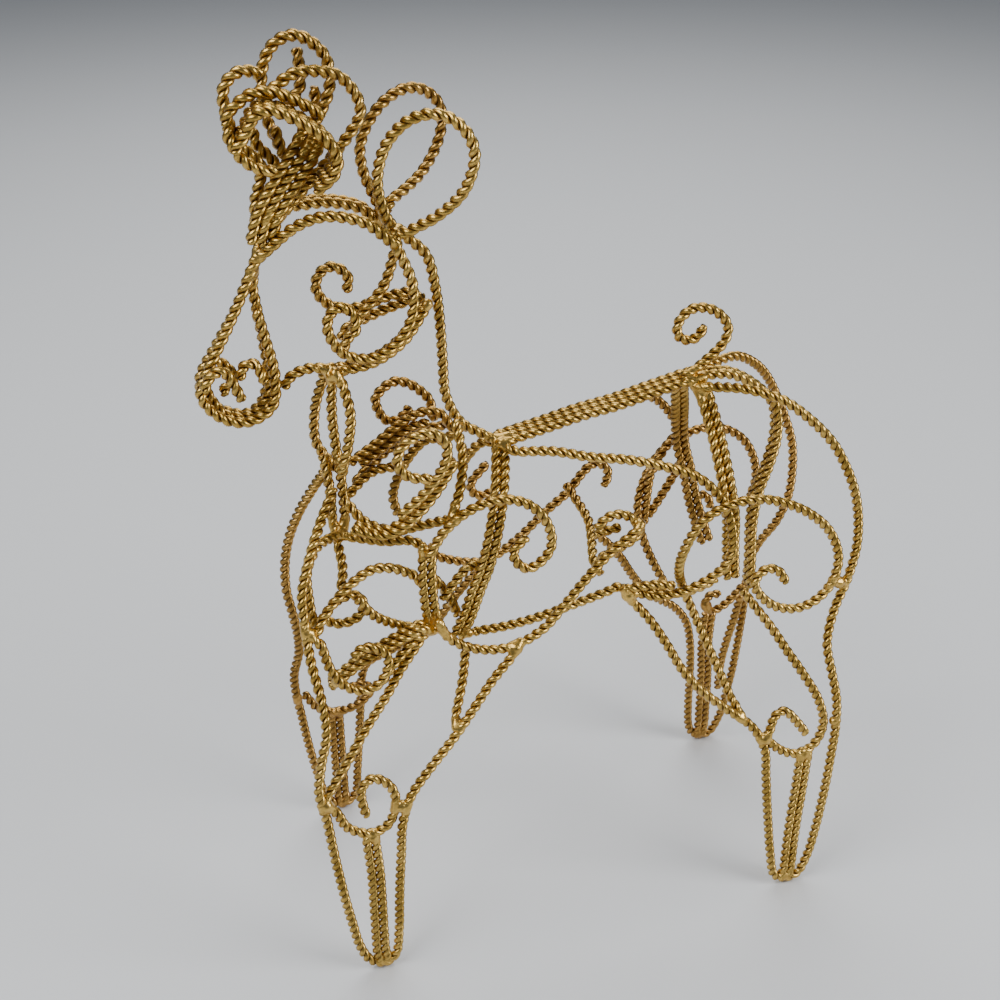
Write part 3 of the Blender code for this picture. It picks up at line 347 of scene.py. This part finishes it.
def smooth_path(points):
    """Fine points along a centripetal spline through the given ones."""
    p = np.array(points, float)
    p = np.vstack([2 * p[0] - p[1], p, 2 * p[-1] - p[-2]])
    fine = []
    for i in range(1, len(p) - 2):
        p0, p1, p2, p3 = p[i - 1:i + 3]
        a = math.sqrt(np.linalg.norm(p1 - p0))
        b = math.sqrt(np.linalg.norm(p2 - p1))
        c = math.sqrt(np.linalg.norm(p3 - p2))
        m1 = b * ((p1 - p0) / a - (p2 - p0) / (a + b) + (p2 - p1) / b)
        m2 = b * ((p2 - p1) / b - (p3 - p1) / (b + c) + (p3 - p2) / c)
        for t in np.arange(0, 1, 0.1):
            fine.append((2 * t ** 3 - 3 * t ** 2 + 1) * p1 + (t ** 3 - 2 * t ** 2 + t) * m1
                        + (3 * t ** 2 - 2 * t ** 3) * p2 + (t ** 3 - t ** 2) * m2)
    fine.append(p[-2])
    return np.array(fine)


def bends(fine):
    """Fewer points along the path: a new one after each run or turn that reaches its limit."""
    steps = np.diff(fine, axis=0)
    lengths = np.linalg.norm(steps, axis=1)
    ways = steps / lengths[:, None]
    kept = [0]
    run = 0.0
    turn = 0.0
    for i in range(1, len(fine) - 1):
        run += lengths[i - 1]
        turn += math.acos(min(1.0, float(ways[i - 1] @ ways[i])))
        if run >= LONGEST_RUN or turn >= SHARPEST_BEND:
            kept.append(i)
            run = 0.0
            turn = 0.0
    kept.append(len(fine) - 1)
    if len(kept) > 2 and lengths[kept[-2]:].sum() < 0.4 * ROPE:
        kept.pop(-2)
    return fine[kept]


def distances(path):
    """How far along a path each of its points lies."""
    return np.concatenate([[0], np.cumsum(np.linalg.norm(np.diff(path, axis=0), axis=1))])


def evenly(fine, spacing):
    """Points at an even spacing along a path."""
    along = distances(fine)
    at = np.linspace(0, along[-1], max(3, int(round(along[-1] / spacing)) + 1))
    return np.stack([np.interp(at, along, fine[:, k]) for k in range(3)], axis=1)


def tangents(path):
    """Unit directions along a path, at each of its points."""
    steps = np.diff(path, axis=0)
    steps /= np.linalg.norm(steps, axis=1)[:, None]
    way = np.vstack([steps[:1], steps[:-1] + steps[1:], steps[-1:]])
    return way / np.linalg.norm(way, axis=1)[:, None]


def rows(path, across):
    """Unit directions along which a row of ropes is spread, square to the path."""
    way = tangents(path)
    side = np.array(across, float) - way * (way @ np.array(across, float))[:, None]
    return side / np.linalg.norm(side, axis=1)[:, None]


def closest(a0, a1, b0, b1):
    """Closest points of pairs of straight runs: shares along each run, and the vector between them."""
    u = a1 - a0
    v = b1 - b0
    w = a0 - b0
    uu = (u * u).sum(1)
    uv = (u * v).sum(1)
    vv = (v * v).sum(1)
    uw = (u * w).sum(1)
    vw = (v * w).sum(1)
    det = np.maximum(uu * vv - uv * uv, 1e-18)
    s = np.clip((uv * vw - vv * uw) / det, 0, 1)
    t = np.clip((uv * s + vw) / vv, 0, 1)
    s = np.clip((uv * t - uw) / uu, 0, 1)
    return s, t, w + u * s[:, None] - v * t[:, None]


def settle(paths, apart, most, skip):
    """Moves ropes sideways, as little as it takes, until none is nearer to another than apart.

    It stops after the number of steps in most. Runs of one rope fewer than skip apart don't push each other.
    """
    names = list(paths)
    start = np.cumsum([0] + [len(paths[n]) for n in names])
    place = np.vstack([paths[n] for n in names])
    first = place.copy()
    inner = np.ones(len(place), bool)
    inner[start[:-1]] = False
    inner[start[1:] - 1] = False
    index, shift, owner = [], [], []
    for k, name in enumerate(names):
        count = ROPES[name][1]
        for j in range(count):
            for i in range(start[k], start[k + 1] - 1):
                index.append(i)
                shift.append((j - (count - 1) / 2) * ROPE)
                owner.append(k)
    index, shift, owner = np.array(index), np.array(shift), np.array(owner)
    on_floor = first[:, 2] < 0.5 * SHARE
    for step in range(most):
        side = np.zeros_like(place)
        for k, name in enumerate(names):
            if ROPES[name][1] > 1:
                part = slice(start[k], start[k + 1])
                side[part] = rows(place[part], ROPES[name][2])
        a = place[index] + side[index] * shift[:, None]
        b = place[index + 1] + side[index + 1] * shift[:, None]
        if step % LOOK_AGAIN == 0:
            middle = (a + b) / 2
            reach = np.linalg.norm(b - a, axis=1) / 2
            far = np.linalg.norm(middle[:, None] - middle[None], axis=2) - reach[:, None] - reach[None]
            near = np.triu(far < apart + LOOK_ROUND, 1)
            same = owner[:, None] == owner[None]
            near &= ~(same & (np.abs(index[:, None] - index[None]) < skip))
            i, j = np.nonzero(near)
            single = np.array([ROPES[names[k]][1] == 1 for k in owner])
            keep = (owner[i] != owner[j]) | single[i]
            i, j = i[keep], j[keep]
        s, t, away = closest(a[i], b[i], a[j], b[j])
        gap = np.linalg.norm(away, axis=1)
        short = apart - gap
        hit = short > 0
        if step > most / 2 and short.max() < 0.02 * ROPE:
            break
        push = away[hit] / np.maximum(gap[hit], 1e-9)[:, None] * (short[hit] * 0.5)[:, None]
        move = np.zeros_like(place)
        weight = np.zeros(len(place))
        share_i = s[hit][:, None]
        share_j = t[hit][:, None]
        for points, amount in ((index[i[hit]], 1 - share_i), (index[i[hit]] + 1, share_i),
                               (index[j[hit]], share_j - 1), (index[j[hit]] + 1, -share_j)):
            np.add.at(move, points, push * amount)
            np.add.at(weight, points, np.abs(amount[:, 0]))
        place += move / np.maximum(weight, 1)[:, None] * 1.2
        if step < most / 2:
            drift = place - first
            mean = (np.roll(drift, 1, 0) + np.roll(drift, -1, 0)) / 2
            drift[inner] += 0.3 * (mean[inner] - drift[inner])
            place = first + drift
        place[on_floor, 2] = first[on_floor, 2]
    print("settled after", step, "steps, tightest", round(float(gap.min()) * 1000, 2), "mm")
    return {n: place[start[k]:start[k + 1]] for k, n in enumerate(names)}


typed = {name: bends(smooth_path(points) * SHARE) for name, (points, count, across) in ROPES.items()}
main_ropes = {name: path for name, path in typed.items() if name not in SCENE_ONLY}
main_ropes = settle(main_ropes, ROPE + GAP + 0.04 * ROPE, most=600, skip=4)
lowest = min(path[:, 2].min() for path in main_ropes.values()) - ROPE / 2
everything = np.vstack(list(main_ropes.values()))
stand = np.array([-(everything[:, 0].min() + everything[:, 0].max()) / 2,
                  -(everything[:, 1].min() + everything[:, 1].max()) / 2, -lowest])
centres = {name: evenly(smooth_path(main_ropes.get(name, typed[name])), FINE_STEP) for name in ROPES}
centres = settle(centres, ROPE * PRESSED, most=80, skip=6)
for name, ends in INTO.items():
    if ends[0]:
        centres[name] = np.vstack([np.array(ends[0]) * SHARE, centres[name]])
    if ends[1]:
        centres[name] = np.vstack([centres[name], np.array(ends[1]) * SHARE])

# Laying up: the strands are swept along each bent rope, with one full turn in 8.3 mm.
# Geometry nodes make the strands, and mark how deep in the groove between them each point lies.
LAY = 0.0083  # length of one full turn
SWEEP_STEP = 0.0008  # between the points of a line that strands are swept along
CUT_END = 0.0012  # length over which a strand narrows to its cut end


def new_tree(name, **sizes):
    """Geometry node tree with sizes and a finish as inputs, a way to add a node to it, and its inputs."""
    tree = bpy.data.node_groups.new(name, "GeometryNodeTree")
    face = tree.interface
    face.new_socket("Geometry", in_out="INPUT", socket_type="NodeSocketGeometry")
    for label, value in sizes.items():
        label = label.replace("_", " ")
        face.new_socket(label, in_out="INPUT", socket_type="NodeSocketFloat").default_value = value
    face.new_socket("Finish", in_out="INPUT", socket_type="NodeSocketMaterial")
    face.new_socket("Geometry", in_out="OUTPUT", socket_type="NodeSocketGeometry")

    def node(kind, settings=(), **values):
        """Adds a node. In the name of an input _ stands for a space, and _0 is the first input."""
        made = tree.nodes.new(kind)
        for key, value in dict(settings).items():
            setattr(made, key, value)
        for key, value in values.items():
            socket = made.inputs[int(key[1:])] if key[0] == "_" else made.inputs[key.replace("_", " ")]
            if isinstance(value, bpy.types.NodeSocket):
                tree.links.new(value, socket)
            else:
                socket.default_value = value
        return made

    return tree, node, node("NodeGroupInput").outputs


def hand_out(tree, node, shape, finish):
    """Ends a node tree: the shape comes out smooth, real and in its finish."""
    soft = node("GeometryNodeSetShadeSmooth", Geometry=shape)
    real = node("GeometryNodeRealizeInstances", Geometry=soft.outputs[0])
    done = node("GeometryNodeSetMaterial", Geometry=real.outputs[0], Material=finish)
    tree.links.new(done.outputs[0], node("NodeGroupOutput").inputs[0])


def strand_maker():
    """Node tree that turns bent centre lines into two laid-up strands."""
    tree, node, given = new_tree("laid_up_strands", Rope=ROPE, Lay=LAY, Fullness=1.08, Rings_a_turn=11.0)

    def sum_of(operation, first, second):
        return node("ShaderNodeMath", {"operation": operation}, _0=first, _1=second).outputs[0]

    spacing = sum_of("DIVIDE", given["Lay"], given["Rings a turn"])
    line = node("GeometryNodeResampleCurve", {"mode": "LENGTH"}, Curve=given["Geometry"], Length=spacing)
    along = node("GeometryNodeSplineParameter").outputs["Length"]
    turned = sum_of("MULTIPLY", sum_of("DIVIDE", along, given["Lay"]), 2 * math.pi)
    line = node("GeometryNodeSetCurveTilt", Curve=line.outputs[0], Tilt=turned)
    half = sum_of("DIVIDE", given["Rope"], 2.0)
    strand = sum_of("MULTIPLY", sum_of("DIVIDE", half, 2.0), given["Fullness"])
    middle = sum_of("SUBTRACT", half, strand)
    rise = sum_of("DIVIDE", given["Lay"], 2 * math.pi)
    slant = sum_of("SQRT", sum_of("ADD", sum_of("POWER", middle, 2.0), sum_of("POWER", rise, 2.0)), 0.0)
    circle = node("GeometryNodeCurvePrimitiveCircle", Resolution=12, Radius=strand)
    where = node("ShaderNodeSeparateXYZ", _0=node("GeometryNodeInputPosition").outputs[0]).outputs
    out = sum_of("ADD", middle, where[0])
    round_by = sum_of("DIVIDE", sum_of("MULTIPLY", where[1], middle), sum_of("MULTIPLY", slant, rise))
    along_it = sum_of("MULTIPLY", where[1], sum_of("DIVIDE", rise, slant))
    cosine = sum_of("COSINE", round_by, 0.0)
    sine = sum_of("SINE", round_by, 0.0)
    x = sum_of("SUBTRACT", sum_of("MULTIPLY", out, cosine), sum_of("MULTIPLY", along_it, sine))
    y = sum_of("ADD", sum_of("MULTIPLY", out, sine), sum_of("MULTIPLY", along_it, cosine))
    cut = node("ShaderNodeCombineXYZ", _0=x, _1=y).outputs[0]
    depth = sum_of("DIVIDE", node("ShaderNodeVectorMath", {"operation": "LENGTH"}, _0=cut).outputs["Value"],
                   half)
    marked = node("GeometryNodeStoreNamedAttribute", {"data_type": "FLOAT", "domain": "POINT"},
                  Geometry=circle.outputs["Curve"], Name="crown", Value=depth)
    marked = node("GeometryNodeSetPosition", Geometry=marked.outputs[0], Position=cut)
    second = node("GeometryNodeTransform", Geometry=marked.outputs[0], Rotation=(0.0, 0.0, math.pi))
    both = node("GeometryNodeJoinGeometry")
    tree.links.new(marked.outputs[0], both.inputs[0])
    tree.links.new(second.outputs[0], both.inputs[0])
    thick = node("GeometryNodeInputRadius").outputs[0]
    swept = node("GeometryNodeCurveToMesh", Curve=line.outputs[0], Profile_Curve=both.outputs[0],
                 Scale=thick, Fill_Caps=True)
    hand_out(tree, node, swept.outputs[0], given["Finish"])
    return tree


def grown(guide, tree, finish):
    """The plain mesh that a node tree makes of a guide object, which is then removed."""
    bpy.context.scene.collection.objects.link(guide)
    maker = guide.modifiers.new("maker", "NODES")
    maker.node_group = tree
    for socket in tree.interface.items_tree:
        if socket.in_out == "INPUT" and socket.name == "Finish":
            maker[socket.identifier] = finish
    graph = bpy.context.evaluated_depsgraph_get()
    mesh = bpy.data.meshes.new_from_object(guide.evaluated_get(graph))
    bpy.data.objects.remove(guide, do_unlink=True)
    return mesh


def lay_up(name, lines, tree, finish):
    """One plain mesh of strands laid up along each of the lines."""
    curve = bpy.data.curves.new(name + "_line", "CURVE")
    curve.dimensions = "3D"
    for line in lines:
        spline = curve.splines.new("POLY")
        spline.points.add(len(line) - 1)
        spline.points.foreach_set("co", np.hstack([line, np.ones((len(line), 1))]).ravel())
        along = distances(line)
        from_end = np.minimum(along, along[-1] - along)
        spline.points.foreach_set("radius", 1 - 0.35 * np.clip(1 - from_end / CUT_END, 0, 1) ** 2)
    return grown(bpy.data.objects.new(name + "_line", curve), tree, finish)


# The finish: old gilding over brass, with painted shade that darkens the grooves between strands and leaves
# the crown of each strand bright, painted shade that makes the far side browner, and a little colour drift
# along the ropes.


class Value:
    """A shader socket that can be written in sums."""

    def __init__(self, tree, socket):
        self.tree = tree
        self.socket = socket

    def put(self, kind, settings=(), values=(), output=0):
        made = self.tree.nodes.new(kind)
        for key, value in dict(settings).items():
            setattr(made, key, value)
        for key, value in dict(values).items():
            if isinstance(value, Value):
                self.tree.links.new(value.socket, made.inputs[key])
            else:
                made.inputs[key].default_value = value
        return Value(self.tree, made.outputs[output])

    def sum(self, operation, first, second):
        return self.put("ShaderNodeMath", {"operation": operation}, {0: first, 1: second})

    def __add__(self, other):
        return self.sum("ADD", self, other)

    def __radd__(self, other):
        return self.sum("ADD", other, self)

    def __sub__(self, other):
        return self.sum("SUBTRACT", self, other)

    def __rsub__(self, other):
        return self.sum("SUBTRACT", other, self)

    def __mul__(self, other):
        return self.sum("MULTIPLY", self, other)

    def between(self, low, high):
        """0 below low, 1 above high, and smooth between them."""
        return self.put("ShaderNodeMapRange", {"interpolation_type": "SMOOTHSTEP"},
                        {0: self, 1: low, 2: high, 3: 0.0, 4: 1.0})

    def blend(self, first, second):
        """Colour that goes from first to second as this value goes from 0 to 1."""
        return self.put("ShaderNodeMix", {"data_type": "RGBA"}, {0: self, 6: first, 7: second}, 2)


def metal(name):
    """Empty metal material, with its shader and a place in space to build patterns on."""
    material = bpy.data.materials.new(name)
    material.use_nodes = True
    tree = material.node_tree
    shader = tree.nodes["Principled BSDF"]
    shader.inputs["Metallic"].default_value = 1.0
    place = tree.nodes.new("ShaderNodeTexCoord")
    return material, tree, shader, Value(tree, place.outputs["Object"])


def far_side_shade(place):
    """0 on the near side of the figure and 1 on its far side, where painted shade makes the gilding browner.
    """
    return place.put("ShaderNodeSeparateXYZ", {}, {0: place}, 1).between(-0.012, 0.034)


def wire_up(tree, shader, **values):
    """Feeds values to the shader's sockets, with _ for a space in a socket's name."""
    for key, value in values.items():
        tree.links.new(value.socket, shader.inputs[key.replace("_", " ")])


gilt_rope, tree, shader, place = metal("gilt_rope")
crown = place.put("ShaderNodeAttribute", {"attribute_name": "crown"}, output=2)
drift = place.put("ShaderNodeTexNoise", {}, {"Vector": place, "Scale": 38.0, "Detail": 3.0})
spots = place.put("ShaderNodeTexNoise", {}, {"Vector": place, "Scale": 420.0, "Detail": 4.0})
grain = place.put("ShaderNodeTexNoise", {}, {"Vector": place, "Scale": 1900.0, "Detail": 2.0})
# painted shade: 1 towards the bottom of the grooves between the two strands, 0 on the crown of each strand
painted_groove_shade = 1 - (crown + (spots - 0.5) * 0.16).between(0.50, 0.86)
warm = drift.between(0.35, 0.66)
gold = warm.blend((0.70, 0.46, 0.12, 1), (0.50, 0.31, 0.066, 1))
# painted shade: darker gilding colours for the far side of the figure
far_shade_brown = warm.blend((0.50, 0.27, 0.075, 1), (0.36, 0.185, 0.05, 1))
gilding = (far_side_shade(place) * 0.75).blend(gold, far_shade_brown)
tarnish = spots.between(0.54, 0.74) * 0.4
aged = tarnish.blend(gilding, (0.30, 0.17, 0.04, 1))
# painted shade: the grooves are darkened over the gilding
colour = (painted_groove_shade * 0.9).blend(aged, (0.16, 0.075, 0.02, 1))
rough = 0.31 + painted_groove_shade * 0.15 + tarnish * 0.15 + (grain - 0.5) * 0.06
bump = place.put("ShaderNodeBump", {}, {"Strength": 0.12, "Distance": 0.0002, "Height": grain + spots})
wire_up(tree, shader, Base_Color=colour, Roughness=rough, Normal=bump)

# Brazing: where ropes meet, filler has run round them in smooth lumps that bury the twist
# for a few millimetres. A big joint has a knob in the middle, and filler that bridges to each rope.
BRAZE_VOXEL = 0.00045  # grid on which drops of filler run together
DROP_STEP = 0.0006  # between the drops along a rope
KNOB_FROM = 0.85  # from this stand-out on, the knob is thicker than a rope
BRIDGE_FROM = 0.9  # from this stand-out on, the knob is bridged to the ropes
JOINTS = {
    # the joints of each piece: place and reach along the ropes in 415ths, and the stand-out of the filler
    "antler_stem": [(-16, -2, 353, 4.5, 0.75), (1, -3, 378, 5, 0.7)],
    "forehead": [(-21, 0, 339, 5, 0.85), (-18, 1, 347, 4, 0.8), (-24, 0, 330, 4, 0.8)],
    "brow_upper": [(33, -3, 341, 5, 0.9), (29, 10, 343, 4, 0.85)],
    "jaw_band": [(44, -2, 311, 3.5, 0.8)],
    "neck_front_mid": [(4, -1, 284, 6, 0.85), (5, -3, 245, 3.5, 0.8), (3, -2, 211, 6, 0.85)],
    "withers_column": [(74, -1, 243, 5.5, 0.8)],
    "withers_side": [(46, -28, 227, 4, 0.8)],
    "shoulder_column": [(38, -25, 168, 7.5, 0.92), (35, -25, 208, 3.5, 0.75)],
    "belly_upper": [(54, -20, 158, 4, 0.8)],
    "belly_lower": [(130, -24, 205, 4, 0.9), (114, -24, 191, 3.5, 0.8)],
    "spine": [(161, -2, 261, 6, 0.78)],
    "hip_near": [(162, -8, 257, 5, 0.8)],
    "haunch_near": [(224, -37, 166, 6.5, 0.9)],
    "knee_near": [(-17, -32, 182, 4, 0.87), (-8, -31, 152, 4, 0.85)],
    "front_near": [(-18, -52, 102, 3.6, 0.9), (14.5, -51.5, 93.5, 5, 0.9), (73, -30, 153, 4.5, 0.93),
                   (43, -42, 126, 3, 0.8)],
    "front_near_shank": [(1, -52, 78, 3.5, 0.85), (2, -55, 2, 3.2, 0.6)],
    "front_far": [(-17, 48, 83, 3.5, 0.85)],
    "front_far_shank": [(1, 52, 66, 3.5, 0.85), (2, 55, 2, 3.2, 0.6)],
    "hind_near": [(125, -27, 169, 5.5, 0.93), (189, -51, 92, 3.8, 0.9), (223, -51, 95, 3, 0.75),
                  (178, -47, 105, 3.5, 0.85)],
    "hind_near_shank": [(211, -51, 76, 4, 0.85), (207, -56, 2, 3.2, 0.6)],
    "hind_far_shank": [(206, 55, 2, 3.2, 0.6), (218, 45, 104, 4, 0.85), (198, 45, 101, 4.2, 0.91)],
}


def filler_maker():
    """Node tree that runs drops of filler together into one smooth lump."""
    tree, node, given = new_tree("run_filler", Voxel=BRAZE_VOXEL)
    size = node("GeometryNodeInputNamedAttribute", Name="drop").outputs[0]
    drops = node("GeometryNodeMeshToPoints", Mesh=given["Geometry"], Radius=size)
    volume = node("GeometryNodePointsToVolume", {"resolution_mode": "VOXEL_SIZE"},
                  Points=drops.outputs[0], Voxel_Size=given["Voxel"], Radius=size)
    skin = node("GeometryNodeVolumeToMesh", Volume=volume.outputs[0], Threshold=0.1)
    spot = node("GeometryNodeInputPosition").outputs[0]
    even = node("GeometryNodeBlurAttribute", {"data_type": "FLOAT_VECTOR"}, Value=spot, Iterations=5)
    moved = node("GeometryNodeSetPosition", Geometry=skin.outputs[0], Position=even.outputs[0])
    hand_out(tree, node, moved.outputs[0], given["Finish"])
    return tree


def filler(name, drops, tree, finish):
    """One plain mesh of filler, from drops given as place and size."""
    mesh = bpy.data.meshes.new(name + "_drops")
    mesh.from_pydata([tuple(d[:3]) for d in drops], [], [])
    mesh.attributes.new("drop", "FLOAT", "POINT").data.foreach_set("value", [d[3] for d in drops])
    return grown(bpy.data.objects.new(name + "_drops", mesh), tree, finish)


braze, tree, shader, place = metal("braze_filler")
cloud = place.put("ShaderNodeTexNoise", {}, {"Vector": place, "Scale": 160.0, "Detail": 4.0})
pits = place.put("ShaderNodeTexNoise", {}, {"Vector": place, "Scale": 900.0, "Detail": 3.0})
base = cloud.between(0.35, 0.62).blend((0.70, 0.46, 0.12, 1), (0.52, 0.33, 0.08, 1))
# painted shade: filler on the far side of the figure is coloured browner
base = (far_side_shade(place) * 0.75).blend(base, (0.42, 0.22, 0.06, 1))
colour = (pits.between(0.58, 0.74) * 0.5).blend(base, (0.22, 0.12, 0.03, 1))
rough = 0.24 + cloud * 0.14
lumps = place.put("ShaderNodeTexNoise", {}, {"Vector": place, "Scale": 380.0, "Detail": 1.0})
bump = place.put("ShaderNodeBump", {}, {"Strength": 0.6, "Distance": 0.0007, "Height": lumps + pits * 0.1})
wire_up(tree, shader, Base_Color=colour, Roughness=rough, Normal=bump)

# Making up: each brazed piece is one object, its ropes and its filler together,
# and takes the place of the plain solid of the same name.


def members(name):
    """Middle lines of the single ropes in a row."""
    count, across = ROPES[name][1:]
    if count == 1:
        return [centres[name]]
    side = rows(centres[name], across)
    return [centres[name] + side * (k - (count - 1) / 2) * ROPE * ROW_PITCH for k in range(count)]


def drops_at(spot, reach, stand_out):
    """Drops along every rope near a joint, and a knob in its middle, with filler run across to each rope."""
    centre = np.array(spot, float) * SHARE
    reach = reach * SHARE
    drops = []
    touched = []
    for name in ROPES:
        for line in members(name):
            near = evenly(line, DROP_STEP)
            far = np.linalg.norm(near - centre, axis=1)
            if far.min() < reach:
                touched.append(near[far.argmin()])
            for p, d in zip(near[far < reach], far[far < reach]):
                share = 1 - (d / reach) ** 2
                drops.append((*p, ROPE / 2 * (0.70 + (stand_out - 0.50) * share)))
    middle = (np.mean(touched, axis=0) + centre) / 2
    drops.append((*middle, ROPE * (0.5 + 2.5 * max(0, stand_out - KNOB_FROM))))
    if stand_out >= BRIDGE_FROM:
        for end in touched:
            drops += [(*(middle + (end - middle) * part), ROPE * 0.42) for part in (0.25, 0.5, 0.75)]
    return drops


strands = strand_maker()
run_filler = filler_maker()
for piece, names in PIECES.items():
    lines = [evenly(smooth_path(line), SWEEP_STEP) + stand for name in names for line in members(name)]
    made = [lay_up(piece, lines, strands, gilt_rope)]
    for k, (*spot, reach, stand_out) in enumerate(JOINTS.get(piece, [])):
        drops = [(*(np.array(d[:3]) + stand), d[3]) for d in drops_at(spot, reach, stand_out)]
        made.append(filler(f"{piece}_{k}", drops, run_filler, braze))
    parts = [bpy.data.objects.new(piece + "_made", mesh) for mesh in made]
    for part in parts:
        bpy.context.scene.collection.objects.link(part)
    bpy.ops.object.select_all(action="DESELECT")
    for part in parts:
        part.select_set(True)
    bpy.context.view_layer.objects.active = parts[0]
    if len(parts) > 1:
        bpy.ops.object.join()
    parts[0].name = piece + "_rope"
    parts[0].data.name = piece + "_rope"
    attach(parts[0], "root")
    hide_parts(piece)

# The studio: a plain pale floor, soft light from both sides and behind, and a camera
# that looks down on the figure as the photograph does.
EYE = (-0.0673, -0.5153, 0.5440)  # the camera's place, before the ropes are stood on the floor
LENS = 51.71  # millimetres, on a sensor 36 mm wide
DOWN = 31.83  # degrees that the camera looks down
TURN = -15.31  # degrees that it is turned from straight across the figure, here towards the tail
bpy.ops.mesh.primitive_plane_add(size=8)
floor = bpy.context.object
floor.name = "floor"
pale = bpy.data.materials.new("pale_floor")
pale.use_nodes = True
shader = pale.node_tree.nodes["Principled BSDF"]
shader.inputs["Base Color"].default_value = (0.62, 0.63, 0.64, 1)
shader.inputs["Roughness"].default_value = 0.7
floor.data.materials.append(pale)

world = bpy.data.worlds.new("studio")
bpy.context.scene.world = world
world.use_nodes = True
sky = world.node_tree.nodes["Background"]
sky.inputs["Color"].default_value = (0.80, 0.88, 1.0, 1)
sky.inputs["Strength"].default_value = 0.16
for name, spot, size, power in (("window", (-0.9, -0.3, 1.2), 0.9, 17), ("sky", (0.2, 0.9, 1.3), 1.2, 17),
                                ("lamp", (0.95, -0.65, 0.8), 0.6, 14)):
    light = bpy.data.lights.new(name, "AREA")
    light.size = size
    light.energy = power
    lamp = bpy.data.objects.new(name, light)
    lamp.location = spot
    aim = np.array((0, 0, 0.2)) - np.array(spot)
    lamp.rotation_euler = Euler((math.acos(-aim[2] / np.linalg.norm(aim)), 0,
                                 math.atan2(aim[1], aim[0]) - math.pi / 2))
    bpy.context.scene.collection.objects.link(lamp)

camera = bpy.data.cameras.new("camera")
camera.lens = LENS
camera.sensor_width = 36
camera.clip_start = 0.01
eye = bpy.data.objects.new("camera", camera)
eye.location = np.array(EYE) + stand
eye.rotation_euler = Euler((math.radians(90 - DOWN), 0.0, math.radians(TURN)))
bpy.context.scene.collection.objects.link(eye)
bpy.context.scene.camera = eye
